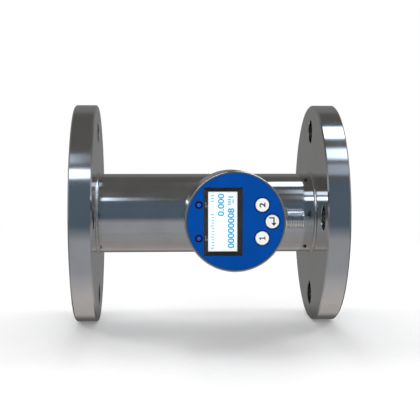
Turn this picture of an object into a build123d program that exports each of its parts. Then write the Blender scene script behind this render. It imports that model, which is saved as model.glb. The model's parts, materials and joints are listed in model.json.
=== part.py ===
from build123d import *
import math
import os

# Flanged turbine flow meter with a round display head. Millimetres.
# +X runs with the flow along the pipe, +Z is up, and the display looks along -Y.
# The origin is the middle of the inlet flange's sealing face.

# Meter body
face_to_face = 200.0
sensor_offset = 16.4  # rotor, pick-up and display head stand this far past the middle

# Flanges, nominal size 50 and pressure class 16
flange_od = 165.0
flange_thickness = 16.5
raised_face_od = 102.0
raised_face_height = 2.0
bolt_circle = 125.0
bolt_hole_d = 18.0
bolt_count = 4
flange_edge = 1.0
bolt_hole_edge = 0.4
flange_slip = 0.35  # radial room for the pipe before welding

# Pipe
pipe_od = 60.3
pipe_wall = 3.65  # where the straighteners sit
pipe_setback = 4.0  # pipe end behind the sealing face
measuring_step = 1.5  # the measuring bore is this much smaller all round
measuring_length = 36.0
window_wall = 1.2  # wall left between the pick-up and the bore

# Welds
neck_weld_leg = 1.3
face_weld_leg = 3.0
boss_weld_leg = 2.6
weld_bulge = 0.58  # share of the leg at the middle of the bead

# Flow straighteners
vane_count = 4
vane_thickness = 1.6
hub_d = 20.0
inlet_ring_length = 52.0
outlet_ring_length = 28.0
vane_inset = 1.5  # vane edge inside the ring's edge
nose_length = 16.0
nose_reach = 10.0  # hub nose past the ring's outer edge
tail_length = 22.0
retainer_thickness = 1.5
retainer_groove_depth = 1.1
retainer_width = 3.05
retainer_gap_angle = 18.0
retainer_ear_d = 5.6
retainer_ear_hole_d = 2.0
axial_play = 0.2
slide_fit = 0.05

# Rotor and its shaft
rotor_hub_length = 20.0
rotor_tip_gap = 0.5
blade_count = 8
blade_length = 16.0
blade_angle = 35.0  # at the tip, from the axis
blade_root_thickness = 1.8
blade_tip_thickness = 1.0
shaft_d = 4.0
shaft_length = 49.0
shaft_edge = 0.4
hub_edge = 0.5
bush_od = 9.0
shaft_fit = 0.03
washer_thickness = 0.8
washer_proud = 0.2
press_room = 0.01

# Pick-up
pickup_bore_d = 12.2
pole_d = 3.0
pole_length = 9.5
bobbin_height = 8.0
bobbin_flange = 1.0
bobbin_core_d = 5.0
magnet_height = 3.5
cap_height = 2.5
lead_d = 2.6
pickup_room = 0.3
winding_room = 0.2

# Display head
head_od = 69.0
head_depth = 48.0
can_wall = 2.0
can_corner = 5.0
neck_wall = 4.0
neck_length = 6.0
bezel_height = 5.0
bezel_lip = 1.0
bezel_skirt = 0.65
bezel_round = 0.9
bezel_width = 1.55
plate_recess = 0.5
plate_rim = 0.7
plate_thickness = 3.1
plate_room = 0.15
gasket_thickness = 0.3

# Boss on the pipe and the swivel that the head turns on
boss_od = 28.0
boss_rise = 8.55  # shoulder above the pipe's surface
spigot_d = 19.0
swivel_range = 330.0
swivel_web_angle = 90.0  # where the stop web stands, seen from the front, from +X
swivel_fit = 0.05
swivel_gap = 0.3
spigot_end_land = 1.5
oring_section = 1.3
oring_groove_width = 1.7
oring_inset = 0.9
stop_groove_width = 3.0
stop_groove_inset = 3.5
stop_groove_depth = 1.3
stop_screw_d = 3.0
stop_tip_d = 2.5
stop_play = 0.1
stop_socket_af = 1.3
stop_socket_depth = 1.5
swivel_washer_thickness = 1.0
swivel_washer_width = 3.5
swivel_ring_thickness = 1.0
swivel_ring_proud = 1.0
swivel_ring_split = 3.0
ring_groove_depth = 1.0

# Display and its window, in the plane of the face: x to the right, y up
light_to_window = 3.3  # from the lights' line to the window's left edge
key_to_window = 13.4  # from the pair of keys to the window's right edge
window_rim = 1.25  # from the window's left corners to the bezel
window_corner = 0.5
pane_thickness = 1.2
frame_thickness = 0.4
frame_left = 3.05
frame_right = 3.5
frame_ends = 2.9
window_ledge = 1.6
lcd_margin = 0.8
fit_room = 0.1
lcd_gap = 1.0  # glass below the window frame

# Status lights
light_inset = 8.05  # from the bezel's opening
light_spacing = 22.8
light_d = 2.8
light_collar_d = 5.3
light_collar_height = 1.2
chip_room = 0.3

# Keys
key_d = 9.2
key_gap = 0.35
enter_key_inset = 7.85  # from the bezel's opening
key_stagger = 6.9  # the pair stands this far nearer the window
key_spacing = 22.6
key_proud = 0.4
key_edge = 0.5
key_travel = 0.6
key_flange_width = 1.3
key_flange_height = 0.6
key_rest_gap = 0.3
switch_size = 6.0
switch_height = 1.4
switch_floor = 0.4
plunger_d = 3.1
plunger_room = 0.15

# Circuit boards
board_thickness = 1.6
board_room = 0.7
board_drop = 6.8  # display board's front below the face's front
signal_board_rise = 7.0  # above the can's floor
pillar_inset = 5.5  # from the can's inner wall
pillar_d = 5.0
pillar_bore_d = 2.5
pillar_angles = (60, 180, 300)
screw_head_d = 4.5
screw_head_height = 1.6
screw_head_round = 0.5
processor_size = 10.0
processor_height = 1.4
processor_place = (-6.0, 9.0)
filter_can_d = 8.0
filter_can_height = 9.0
filter_can_place = (-12.0, -14.0)
header_width = 5.0
header_length = 9.0
header_height = 5.5
header_place = (4.0, -15.0)

# Cable connector on the head's side
plug_depth = 26.0  # connector axis behind the face
plug_thread_d = 14.0
plug_length = 15.6  # from the pad to the free end
plug_thread_length = 11.4
plug_relief_depth = 0.55
plug_hex_height = 2.6
plug_hex_margin = 1.5
plug_wall = 1.4
plug_socket_depth = 9.0
plug_edge = 0.4
plug_tail_d = 12.0
plug_tail_wall = 1.05
plug_tail_inside = 4.0
insert_floor = 1.5
insert_inset = 0.5
rib_width = 1.0
rib_height = 1.3
rib_length = 4.5
pad_d = 19.0
pad_rise = 0.2  # the pad's flat stands this far outside the can
pad_depth = 1.5  # and this far inside it
plug_gasket_thickness = 0.5
plug_nut_af = 15.0
plug_nut_height = 3.0
pin_count = 4
pin_d = 1.0
pin_tip_round = 0.4
pin_circle = 7.6
pin_recess = 2.0
pin_tail = 2.0
plug_lead_d = 3.2
plug_lead_radius = 5.0

# Places, heights and radii that follow; heights run from the pipe axis towards the viewer
sensor_x = face_to_face / 2 + sensor_offset
pipe_r = pipe_od / 2
cartridge_r = pipe_r - pipe_wall
measuring_r = cartridge_r - measuring_step
retainer_inner_r = cartridge_r + retainer_groove_depth - retainer_width
flange_inner_face = raised_face_height + flange_thickness
shoulder_in = sensor_x - measuring_length / 2
shoulder_out = sensor_x + measuring_length / 2
pocket_floor = measuring_r + window_wall
boss_shoulder = pipe_r + boss_rise
neck_end = boss_shoulder + swivel_gap
head_rear = neck_end + neck_length
face_height = head_rear + head_depth
can_floor = head_rear + can_wall
can_inner_r = head_od / 2 - can_wall
neck_r = spigot_d / 2 + neck_wall
bezel_foot = face_height - bezel_height
face_r = head_od / 2 - bezel_width
plate_front = face_height - plate_recess
plate_back = plate_front - plate_thickness
lip_under = face_height - bezel_lip
can_rim = lip_under - plate_rim - gasket_thickness
board_front = face_height - board_drop
board_back = board_front - board_thickness
signal_board_back = can_floor + signal_board_rise
signal_board_front = signal_board_back + board_thickness
pillar_r = can_inner_r - pillar_inset
switch_top = board_front + switch_height
plug_height = face_height - plug_depth
key_flange_top = plate_back - key_rest_gap
key_flange_bottom = key_flange_top - key_flange_height
ring_low = can_floor + swivel_gap + swivel_washer_thickness
spigot_end = ring_low + swivel_ring_thickness + spigot_end_land
stop_height = boss_shoulder + stop_groove_inset + stop_groove_width / 2
rotor_start = sensor_x - rotor_hub_length / 2
rotor_end = sensor_x + rotor_hub_length / 2
bush_start = rotor_start - axial_play
bush_end = rotor_end + axial_play
inlet_hub_end = bush_start - axial_play - washer_proud
outlet_hub_start = bush_end + axial_play + washer_proud
inlet_ring_start = shoulder_in - inlet_ring_length
outlet_ring_end = shoulder_out + outlet_ring_length
pad_reach = head_od / 2 + pad_rise
pad_root = can_inner_r - pad_depth
plug_reach = pad_reach + plug_length
plug_thread_start = plug_reach - plug_thread_length
plug_tail_start = pad_root - plug_tail_inside
plug_hex_af = plug_thread_d + 2 * plug_hex_margin
plug_socket_r = plug_thread_d / 2 - plug_wall
plug_tail_bore_r = plug_tail_d / 2 - plug_tail_wall
light_x = light_inset - face_r
enter_key_x = face_r - enter_key_inset
key_x = enter_key_x - key_stagger
window_left = light_x + light_to_window
window_right = key_x - key_to_window
window_x = (window_left + window_right) / 2
window_width = window_right - window_left
window_height = 2 * math.sqrt((face_r - window_rim) ** 2 - window_left**2)
view_x = (window_left + frame_left + window_right - frame_right) / 2
view_width = window_width - frame_left - frame_right
view_height = window_height - 2 * frame_ends
key_places = {
    "key_lower": (key_x, -key_spacing / 2),
    "key_upper": (key_x, key_spacing / 2),
    "key_enter": (enter_key_x, 0),
}
light_places = {
    "lower": (light_x, -light_spacing / 2),
    "upper": (light_x, light_spacing / 2),
}

UPRIGHT = (Align.CENTER, Align.CENTER, Align.MIN)
HEAD = Pos(sensor_x, 0, 0) * Rot(90, 0, 0)
PLUG = Pos(sensor_x, -plug_height, 0) * Rot(0, 90, 0)


def rod(start, end, radius, bore=0.0):
    """Round bar or ring along Z."""
    bar = Cylinder(radius, end - start, align=UPRIGHT)
    if bore:
        bar -= Cylinder(bore, end - start, align=UPRIGHT)
    return Pos(0, 0, start) * bar


def pipe_rod(start, end, radius, bore=0.0):
    """Round bar or ring on the pipe axis."""
    return Rot(0, 90, 0) * rod(start, end, radius, bore)


def turned_on_pipe(*outline):
    """Solid turned about the pipe axis from its half section, as (x, radius)."""
    return revolve(make_face(Polyline(*outline, close=True)), Axis.X)


def turned(*outline):
    """Solid turned about Z from its half section, as (radius, z)."""
    points = [(radius, 0, height) for radius, height in outline]
    return revolve(make_face(Polyline(*points, close=True)), Axis.Z)


def circle_edges(solid, radius):
    """Round edges of a solid that have this radius, from the lowest up."""
    circles = solid.edges().filter_by(GeomType.CIRCLE)
    return circles.filter_by(lambda edge: abs(edge.radius - radius) < 0.001).sort_by(Axis.Z)


def across_middle(solid):
    """Mirror image of an inlet piece at the outlet end."""
    return mirror(solid, Plane.YZ.offset(face_to_face / 2))


def inlet_flange():
    """Plate flange with a raised face, bored for the pipe and drilled on the axes."""
    bore_r = pipe_r + flange_slip
    flange = turned_on_pipe(
        (0, bore_r),
        (0, raised_face_od / 2),
        (raised_face_height, raised_face_od / 2),
        (raised_face_height, flange_od / 2),
        (flange_inner_face, flange_od / 2),
        (flange_inner_face, bore_r),
    )
    flange = chamfer(circle_edges(flange, flange_od / 2), flange_edge)
    hole = pipe_rod(0, flange_inner_face, bolt_hole_d / 2)
    for number in range(bolt_count):
        flange -= Rot(360 * number / bolt_count, 0, 0) * Pos(0, 0, bolt_circle / 2) * hole
    return chamfer(circle_edges(flange, bolt_hole_d / 2), bolt_hole_edge)


def meter_tube():
    """Pipe with the measuring bore in the middle and a wider bore for each straightener."""
    tube_start = pipe_setback
    tube_end = face_to_face - pipe_setback
    groove_r = cartridge_r + retainer_groove_depth
    tube = pipe_rod(tube_start, tube_end, pipe_r, measuring_r)
    tube -= pipe_rod(tube_start, shoulder_in, cartridge_r)
    tube -= pipe_rod(shoulder_out, tube_end, cartridge_r)
    tube -= pipe_rod(inlet_ring_start - retainer_thickness, inlet_ring_start, groove_r)
    tube -= pipe_rod(outlet_ring_end, outlet_ring_end + retainer_thickness, groove_r)
    return tube - HEAD * rod(pocket_floor, pipe_r + boss_weld_leg, pickup_bore_d / 2)


def bead(corner_x, corner_r, leg_x, leg_r):
    """Ring of weld in the corner between a face and a round surface."""
    corner = (corner_x, corner_r)
    foot = (corner_x + leg_x, corner_r)
    crown = (corner_x + weld_bulge * leg_x, corner_r + weld_bulge * leg_r)
    top = (corner_x, corner_r + leg_r)
    outline = Line(corner, foot) + ThreePointArc(foot, crown, top) + Line(top, corner)
    return revolve(make_face(outline), Axis.X)


def inlet_neck_weld():
    """Fillet weld behind the flange, around the pipe."""
    return bead(flange_inner_face, pipe_r, neck_weld_leg, neck_weld_leg)


def inlet_face_weld():
    """Fillet weld between the pipe's end and the flange's bore."""
    return bead(pipe_setback, pipe_r + flange_slip, -face_weld_leg, -face_weld_leg)


def straightener_vanes(start, end):
    """Flat vanes with rounded edges, from the hub to the ring."""
    length = end - start
    root = hub_d / 2 - vane_thickness
    height = measuring_r + slide_fit + vane_thickness / 2 - root
    section = Pos((start + end) / 2, 0, root) * SlotOverall(length, vane_thickness)
    vane = extrude(section, height, dir=(0, 0, 1))
    turns = [360 * (number + 0.5) / vane_count for number in range(vane_count)]
    return [Rot(turn, 0, 0) * vane for turn in turns]


def straightener(ring_start, ring_end, vane_start, vane_end, hub):
    """Ring, vanes and hub of one flow straightener."""
    body = hub + pipe_rod(ring_start, ring_end, cartridge_r - slide_fit, measuring_r)
    for vane in straightener_vanes(vane_start, vane_end):
        body += vane
    return body


def shaft_seat(hub_face, direction):
    """Blind bore for the shaft and the recess for its thrust washer."""
    depth = shaft_overhang() * direction
    recess = (washer_thickness - washer_proud) * direction
    low, high = sorted((hub_face, hub_face + depth))
    seat = pipe_rod(low, high, shaft_d / 2 + press_room)
    low, high = sorted((hub_face, hub_face + recess))
    return seat + pipe_rod(low, high, bush_od / 2 + slide_fit)


def shaft_overhang():
    """Length of shaft that each hub holds, with a little room at its end."""
    return (shaft_length - (outlet_hub_start - inlet_hub_end)) / 2 + axial_play


def inlet_straightener():
    """Long straightener with a bullet nose, upstream of the rotor."""
    radius = hub_d / 2
    nose_tip = inlet_ring_start - nose_reach
    shoulder = nose_tip + nose_length
    nose = EllipticalCenterArc((shoulder, 0), nose_length, radius, 90, arc_size=90)
    end = inlet_hub_end
    sides = Polyline((nose_tip, 0), (end, 0), (end, radius), (shoulder, radius))
    hub = revolve(make_face(nose + sides), Axis.X)
    vane_start = inlet_ring_start + vane_inset
    vane_end = shoulder_in - vane_inset
    body = straightener(inlet_ring_start, shoulder_in, vane_start, vane_end, hub)
    return body - shaft_seat(inlet_hub_end, -1)


def outlet_straightener():
    """Short straightener with a tapered tail, downstream of the rotor."""
    radius = hub_d / 2
    tail_tip = outlet_ring_end + nose_reach
    shoulder = tail_tip - tail_length
    tail = EllipticalCenterArc((shoulder, 0), tail_length, radius, 0, arc_size=90)
    start = outlet_hub_start
    sides = Polyline((shoulder, radius), (start, radius), (start, 0), (tail_tip, 0))
    hub = revolve(make_face(tail + sides), Axis.X)
    vane_start = shoulder_out + vane_inset
    vane_end = outlet_ring_end - vane_inset
    body = straightener(shoulder_out, outlet_ring_end, vane_start, vane_end, hub)
    return body - shaft_seat(outlet_hub_start, 1)


def retaining_ring(start):
    """Sprung ring with two eyes, whose gap stands in line with a vane."""
    outer_r = cartridge_r + retainer_groove_depth - slide_fit
    ring = pipe_rod(start, start + retainer_thickness, outer_r, retainer_inner_r)
    middle = 180 / vane_count
    half_gap = retainer_gap_angle / 2
    reach = 2 * outer_r
    side = reach * math.tan(math.radians(half_gap))
    wedge = make_face(Polyline((0, 0, 0), (0, -side, reach), (0, side, reach), close=True))
    gap = Pos(start, 0, 0) * extrude(wedge, retainer_thickness, dir=(1, 0, 0))
    ring -= Rot(middle, 0, 0) * gap
    ear_r = retainer_inner_r - retainer_ear_d / 4
    ear = pipe_rod(start, start + retainer_thickness, retainer_ear_d / 2)
    eye = pipe_rod(start, start + retainer_thickness, retainer_ear_hole_d / 2)
    ear_turn = half_gap + math.degrees(retainer_ear_d / 2 / ear_r)
    for turn in (middle - ear_turn, middle + ear_turn):
        ring += Rot(turn, 0, 0) * Pos(0, 0, ear_r) * ear
        ring -= Rot(turn, 0, 0) * Pos(0, 0, ear_r) * eye
    return ring


def rotor_shaft():
    """Hard shaft held in both hubs."""
    middle = (inlet_hub_end + outlet_hub_start) / 2
    shaft = pipe_rod(middle - shaft_length / 2, middle + shaft_length / 2, shaft_d / 2)
    return chamfer(circle_edges(shaft, shaft_d / 2), shaft_edge)


def thrust_washer(face):
    """Hard washer on the shaft, starting at this station."""
    return pipe_rod(face, face + washer_thickness, bush_od / 2, shaft_d / 2 + press_room)


def rotor_blade(tip_r):
    """Helical blade standing up from the axis, thinner and steeper towards its tip."""
    helix_lead = 2 * math.pi * tip_r / math.tan(math.radians(blade_angle))
    root_r = hub_d / 2 - blade_root_thickness
    sections = []
    for share in (0.0, 0.5, 1.0):
        radius = root_r + share * (tip_r + blade_tip_thickness - root_r)
        stagger = math.atan(2 * math.pi * radius / helix_lead)
        thickness = blade_root_thickness + share * (blade_tip_thickness - blade_root_thickness)
        chord = blade_length / math.cos(stagger)
        plane = Pos(sensor_x, 0, radius) * Rot(0, 0, math.degrees(stagger))
        sections.append(plane * SlotOverall(chord, thickness))
    return loft(sections)


def turbine_rotor():
    """Rotor hub with its ring of helical blades, bored for the bush."""
    tip_r = measuring_r - rotor_tip_gap
    rotor = pipe_rod(rotor_start, rotor_end, hub_d / 2)
    rotor = chamfer(circle_edges(rotor, hub_d / 2), hub_edge)
    blade = rotor_blade(tip_r) & pipe_rod(rotor_start, rotor_end, tip_r)
    for number in range(blade_count):
        rotor += Rot(360 * number / blade_count, 0, 0) * blade
    return rotor - pipe_rod(rotor_start, rotor_end, bush_od / 2)


def rotor_bush():
    """Bearing bush pressed into the rotor, running on the shaft."""
    outer_r = bush_od / 2 - press_room
    return pipe_rod(bush_start, bush_end, outer_r, shaft_d / 2 + shaft_fit)


def sensor_boss():
    """Turned boss on the pipe: saddle, shoulder and the spigot that the head turns on."""
    spigot_r = spigot_d / 2
    oring_low = boss_shoulder + oring_inset
    groove_r = spigot_r - oring_section
    boss = rod(pocket_floor, boss_shoulder, boss_od / 2)
    boss += rod(boss_shoulder, spigot_end, spigot_r)
    boss -= rod(oring_low, oring_low + oring_groove_width, boss_od, groove_r)
    boss -= stop_groove()
    boss -= rod(ring_low, ring_low + swivel_ring_thickness, boss_od, spigot_r - ring_groove_depth)
    boss -= rod(pocket_floor, spigot_end, pickup_bore_d / 2)
    return HEAD * boss - pipe_rod(0, face_to_face, pipe_r)


def stop_groove():
    """Groove round the spigot that leaves one web, so that the head can't turn right round."""
    inner_r = spigot_d / 2 - stop_groove_depth
    tip_angle = math.degrees(math.asin((stop_tip_d / 2 + stop_play) / inner_r))
    sweep = swivel_range + 2 * tip_angle
    depth = stop_groove_depth + swivel_gap
    section = Plane.XZ * Pos(inner_r + depth / 2, 0) * Rectangle(depth, stop_groove_width)
    cut = revolve(section, Axis.Z, revolution_arc=sweep)
    web_half = (360 - sweep) / 2
    return Pos(0, 0, stop_height) * Rot(0, 0, swivel_web_angle + web_half) * cut


def boss_weld():
    """Fillet weld that follows the saddle between boss and pipe."""
    outer = HEAD * rod(0, pipe_od, boss_od / 2 + boss_weld_leg, boss_od / 2)
    shell = pipe_rod(0, face_to_face, pipe_r + boss_weld_leg, pipe_r)
    collar = outer & shell
    top_edges = collar.edges().filter_by(lambda edge: is_weld_rim(edge))
    return chamfer(top_edges, boss_weld_leg * weld_bulge)


def is_weld_rim(edge):
    """Whether an edge is the sharp outer rim of the boss weld."""
    middle = edge @ 0.5
    from_pipe = math.hypot(middle.Y, middle.Z)
    from_boss = math.hypot(middle.X - sensor_x, middle.Z)
    at_pipe = abs(from_pipe - pipe_r - boss_weld_leg) < 0.01
    return at_pipe and abs(from_boss - boss_od / 2 - boss_weld_leg) < 0.01


def pickup_pole():
    """Soft iron pole pin over the rotor."""
    start = pocket_floor + pickup_room
    return HEAD * rod(start, start + pole_length, pole_d / 2)


def pickup_bobbin():
    """Coil former with two flanges around the pole."""
    low = pocket_floor + pickup_room
    high = low + bobbin_height
    outer_r = pickup_bore_d / 2 - slide_fit
    core_r = bobbin_core_d / 2
    bore_r = pole_d / 2 + press_room
    return HEAD * turned(
        (bore_r, low),
        (outer_r, low),
        (outer_r, low + bobbin_flange),
        (core_r, low + bobbin_flange),
        (core_r, high - bobbin_flange),
        (outer_r, high - bobbin_flange),
        (outer_r, high),
        (bore_r, high),
    )


def pickup_winding():
    """Coil of enamelled wire between the former's flanges."""
    low = pocket_floor + pickup_room + bobbin_flange
    high = low + bobbin_height - 2 * bobbin_flange
    return HEAD * rod(low, high, pickup_bore_d / 2 - winding_room, bobbin_core_d / 2)


def pickup_magnet():
    """Disc magnet on the end of the pole."""
    low = pocket_floor + pickup_room + pole_length
    return HEAD * rod(low, low + magnet_height, pickup_bore_d / 2 - winding_room)


def pickup_cap():
    """Cap that closes the pick-up's bore around its lead."""
    low = pocket_floor + pickup_room + pole_length + magnet_height
    outer_r = pickup_bore_d / 2 - slide_fit
    return HEAD * rod(low, low + cap_height, outer_r, lead_d / 2 + press_room)


def pickup_lead():
    """Lead from the pick-up to the signal board, straight along the swivel's axis."""
    low = pocket_floor + pickup_room + pole_length + magnet_height
    return HEAD * rod(low, signal_board_back - swivel_gap, lead_d / 2)


def swivel_oring():
    """Sealing ring in the spigot's groove."""
    ring_r = spigot_d / 2 - oring_section / 2
    height = boss_shoulder + oring_inset + oring_groove_width / 2
    return HEAD * Pos(0, 0, height) * Torus(ring_r, oring_section / 2)


def swivel_washer():
    """Thrust washer between the can's floor and the spigot's ring."""
    bore_r = spigot_d / 2 + slide_fit
    low = ring_low - swivel_washer_thickness
    return HEAD * rod(low, ring_low, bore_r + swivel_washer_width, bore_r)


def swivel_ring():
    """Split ring in the spigot's groove that keeps the head on."""
    inner_r = spigot_d / 2 - ring_groove_depth + slide_fit
    outer_r = spigot_d / 2 + swivel_ring_proud
    ring = rod(ring_low, ring_low + swivel_ring_thickness, outer_r, inner_r)
    gap = Box(outer_r, swivel_ring_split, swivel_ring_thickness, align=UPRIGHT)
    return HEAD * (ring - Pos(-outer_r, 0, ring_low) * gap)


def swivel_stop_screw():
    """Headless screw through the can's neck, whose tip runs in the stop groove."""
    tip_end = spigot_d / 2 - stop_groove_depth + swivel_gap
    step = spigot_d / 2 + swivel_gap
    outer_end = neck_r - swivel_gap
    screw = rod(tip_end, step, stop_tip_d / 2) + rod(step, outer_end, stop_screw_d / 2)
    hexagon = RegularPolygon(stop_socket_af / 2, 6, False)
    screw -= extrude(Pos(0, 0, outer_end) * hexagon, -stop_socket_depth)
    return HEAD * Pos(0, 0, stop_height) * Rot(0, 90, 0) * screw


def head_can():
    """Turned can with a rear neck, a step for the bezel ring and a pad for the connector."""
    outer_r = head_od / 2
    step_r = outer_r - bezel_skirt - slide_fit
    bore_r = spigot_d / 2 + swivel_fit
    can = turned(
        (bore_r, neck_end),
        (neck_r, neck_end),
        (neck_r, head_rear),
        (outer_r, head_rear),
        (outer_r, bezel_foot),
        (step_r, bezel_foot),
        (step_r, can_rim),
        (can_inner_r, can_rim),
        (can_inner_r, can_floor),
        (bore_r, can_floor),
    )
    can = fillet(circle_edges(can, outer_r)[0], can_corner)
    can = fillet(circle_edges(can, can_inner_r)[0], can_corner - can_wall)
    sideways = Rot(0, 90, 0)
    pad = Pos(0, 0, plug_height) * sideways * rod(pad_root, pad_reach, pad_d / 2)
    hole = Pos(0, 0, plug_height) * sideways * rod(0, head_od, plug_tail_d / 2 + fit_room)
    screw_hole = Pos(0, 0, stop_height) * sideways * rod(0, head_od, stop_screw_d / 2 + press_room)
    return HEAD * (can + pad - hole - screw_hole)


def bezel_ring():
    """Bright ring that holds the face plate on the can."""
    outer_r = head_od / 2
    skirt_r = outer_r - bezel_skirt
    ring = turned(
        (skirt_r, bezel_foot),
        (outer_r, bezel_foot),
        (outer_r, face_height),
        (face_r, face_height),
        (face_r, lip_under),
        (skirt_r, lip_under),
    )
    return HEAD * fillet(circle_edges(ring, outer_r)[-1], bezel_round)


def face_gasket():
    """Flat seal between the can's rim and the face plate."""
    outer_r = head_od / 2 - bezel_skirt - plate_room
    return HEAD * rod(can_rim, can_rim + gasket_thickness, outer_r, can_inner_r + slide_fit)


def face_plate():
    """Moulded face with openings for the window, the keys and the status lights."""
    rim_r = head_od / 2 - bezel_skirt - plate_room
    body_r = can_inner_r - fit_room
    plate = rod(plate_back, lip_under, body_r)
    plate += rod(lip_under - plate_rim, lip_under, rim_r)
    plate += rod(lip_under - plate_rim, plate_front, face_r - fit_room)
    window = RectangleRounded(window_width, window_height, window_corner)
    ledge_height = plate_front - pane_thickness - frame_thickness
    plate -= extrude(Pos(window_x, 0, ledge_height) * window, pane_thickness + frame_thickness)
    well = Rectangle(window_width - 2 * window_ledge, window_height - 2 * window_ledge)
    plate -= extrude(Pos(window_x, 0, plate_back) * well, plate_thickness)
    for x, y in key_places.values():
        plate -= Pos(x, y, 0) * rod(plate_back, plate_front, key_d / 2 + key_gap)
    for x, y in light_places.values():
        plate -= Pos(x, y, 0) * rod(plate_back, plate_front, light_d / 2 + fit_room)
        collar_foot = plate_front - light_collar_height
        plate -= Pos(x, y, 0) * rod(collar_foot, plate_front, light_collar_d / 2 + fit_room / 2)
    return HEAD * plate


def window_frame():
    """Dark frame behind the pane, open over the display."""
    outer = RectangleRounded(window_width - fit_room, window_height - fit_room, window_corner)
    outer = Pos(window_x, 0) * outer
    inner = Pos(view_x, 0) * Rectangle(view_width, view_height)
    low = plate_front - pane_thickness - frame_thickness
    return HEAD * extrude(Pos(0, 0, low) * (outer - inner), frame_thickness)


def display_window():
    """Clear pane, flush with the face."""
    pane = RectangleRounded(window_width - fit_room, window_height - fit_room, window_corner)
    low = plate_front - pane_thickness
    return HEAD * extrude(Pos(window_x, 0, low) * pane, pane_thickness)


def lcd_panel():
    """Display module on the board, just under the window frame."""
    top = plate_front - pane_thickness - frame_thickness - lcd_gap
    glass = Rectangle(view_width + 2 * lcd_margin, view_height + 2 * lcd_margin)
    return HEAD * extrude(Pos(view_x, 0, board_front) * glass, top - board_front)


def light_collar(place):
    """Dark collar of one status light, flush with the face."""
    low = plate_front - light_collar_height
    return HEAD * Pos(*place, 0) * rod(low, plate_front, light_collar_d / 2, light_d / 2 + press_room)


def light_pipe(place):
    """Tinted rod that brings one status light from the board to the face."""
    return HEAD * Pos(*place, 0) * rod(board_front + chip_room, plate_front, light_d / 2)


def key_cap(place):
    """Round key with a flange under the face that keeps it in."""
    front = plate_front + key_proud
    cap = rod(key_flange_bottom, front, key_d / 2)
    cap = fillet(cap.edges().filter_by(GeomType.CIRCLE).sort_by(Axis.Z)[-1], key_edge)
    cap += rod(key_flange_bottom, key_flange_top, key_d / 2 + key_flange_width)
    return HEAD * Pos(*place, 0) * cap


def key_plunger(place):
    """Plunger that carries a key's stroke into its switch."""
    low = board_front + switch_floor + plunger_room + key_travel
    return HEAD * Pos(*place, 0) * rod(low, key_flange_bottom, plunger_d / 2)


def key_switches():
    """Three low switch housings on the display board."""
    housing = Pos(0, 0, board_front) * Box(switch_size, switch_size, switch_height, align=UPRIGHT)
    housing -= rod(board_front + switch_floor, switch_top, plunger_d / 2 + plunger_room)
    return HEAD * Compound(children=[Pos(x, y, 0) * housing for x, y in key_places.values()])


def pillar_places():
    """Places of the board pillars, in the plane of the face."""
    turns = [math.radians(angle) for angle in pillar_angles]
    return [(pillar_r * math.cos(turn), pillar_r * math.sin(turn)) for turn in turns]


def display_board():
    """Round circuit board behind the face, with its two light chips."""
    board = rod(board_back, board_front, can_inner_r - board_room)
    for x, y in light_places.values():
        chip = Box(light_d, light_d, chip_room, align=UPRIGHT)
        board += Pos(x, y, board_front) * chip
    for x, y in pillar_places():
        board -= Pos(x, y, 0) * rod(board_back, board_front, pillar_bore_d / 2)
    return HEAD * board


def signal_board():
    """Round circuit board at the back, with its processor, filter can and lead header."""
    board = rod(signal_board_back, signal_board_front, can_inner_r - board_room)
    processor = Box(processor_size, processor_size, processor_height, align=UPRIGHT)
    filter_can = Cylinder(filter_can_d / 2, filter_can_height, align=UPRIGHT)
    header = Box(header_width, header_length, header_height, align=UPRIGHT)
    board += Pos(*processor_place, signal_board_front) * processor
    board += Pos(*filter_can_place, signal_board_front) * filter_can
    board += Pos(*header_place, signal_board_front) * header
    for x, y in pillar_places():
        board -= Pos(x, y, 0) * rod(signal_board_back, signal_board_front, pillar_bore_d / 2)
    return HEAD * board


def pillars(start, end):
    """Three pillars between these heights."""
    pillar = rod(start, end, pillar_d / 2)
    return HEAD * Compound(children=[Pos(x, y, 0) * pillar for x, y in pillar_places()])


def board_screws():
    """Three screws that hold the display board on its pillars."""
    head = rod(board_front, board_front + screw_head_height, screw_head_d / 2)
    head = fillet(head.edges().filter_by(GeomType.CIRCLE).sort_by(Axis.Z)[-1], screw_head_round)
    screw = head + rod(board_back, board_front, pillar_bore_d / 2 - press_room)
    return HEAD * Compound(children=[Pos(x, y, 0) * screw for x, y in pillar_places()])


def connector_shell():
    """Threaded socket shell with its hexagon and the tail that goes through the can."""
    hex_start = pad_reach + plug_gasket_thickness
    hex_end = hex_start + plug_hex_height
    shell = rod(plug_tail_start, hex_start, plug_tail_d / 2)
    shell += Pos(0, 0, hex_start) * extrude(RegularPolygon(plug_hex_af / 2, 6, False), plug_hex_height)
    shell += rod(hex_end, plug_thread_start, plug_thread_d / 2 - plug_relief_depth)
    thread = rod(plug_thread_start, plug_reach, plug_thread_d / 2)
    shell += chamfer(thread.edges().filter_by(GeomType.CIRCLE), plug_edge)
    shell -= rod(plug_tail_start, plug_reach, plug_tail_bore_r)
    return PLUG * (shell - rod(plug_reach - plug_socket_depth, plug_reach, plug_socket_r))


def connector_gasket():
    """Flat seal between the can's pad and the shell's hexagon."""
    high = pad_reach + plug_gasket_thickness
    return PLUG * rod(pad_reach, high, plug_hex_af / 2, plug_tail_d / 2 + fit_room)


def connector_nut():
    """Hexagon nut on the shell's tail, inside the can."""
    nut = extrude(RegularPolygon(plug_nut_af / 2, 6, False), plug_nut_height)
    nut -= rod(0, plug_nut_height, plug_tail_d / 2 + press_room)
    return PLUG * Pos(0, 0, pad_root - plug_nut_height) * nut


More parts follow.
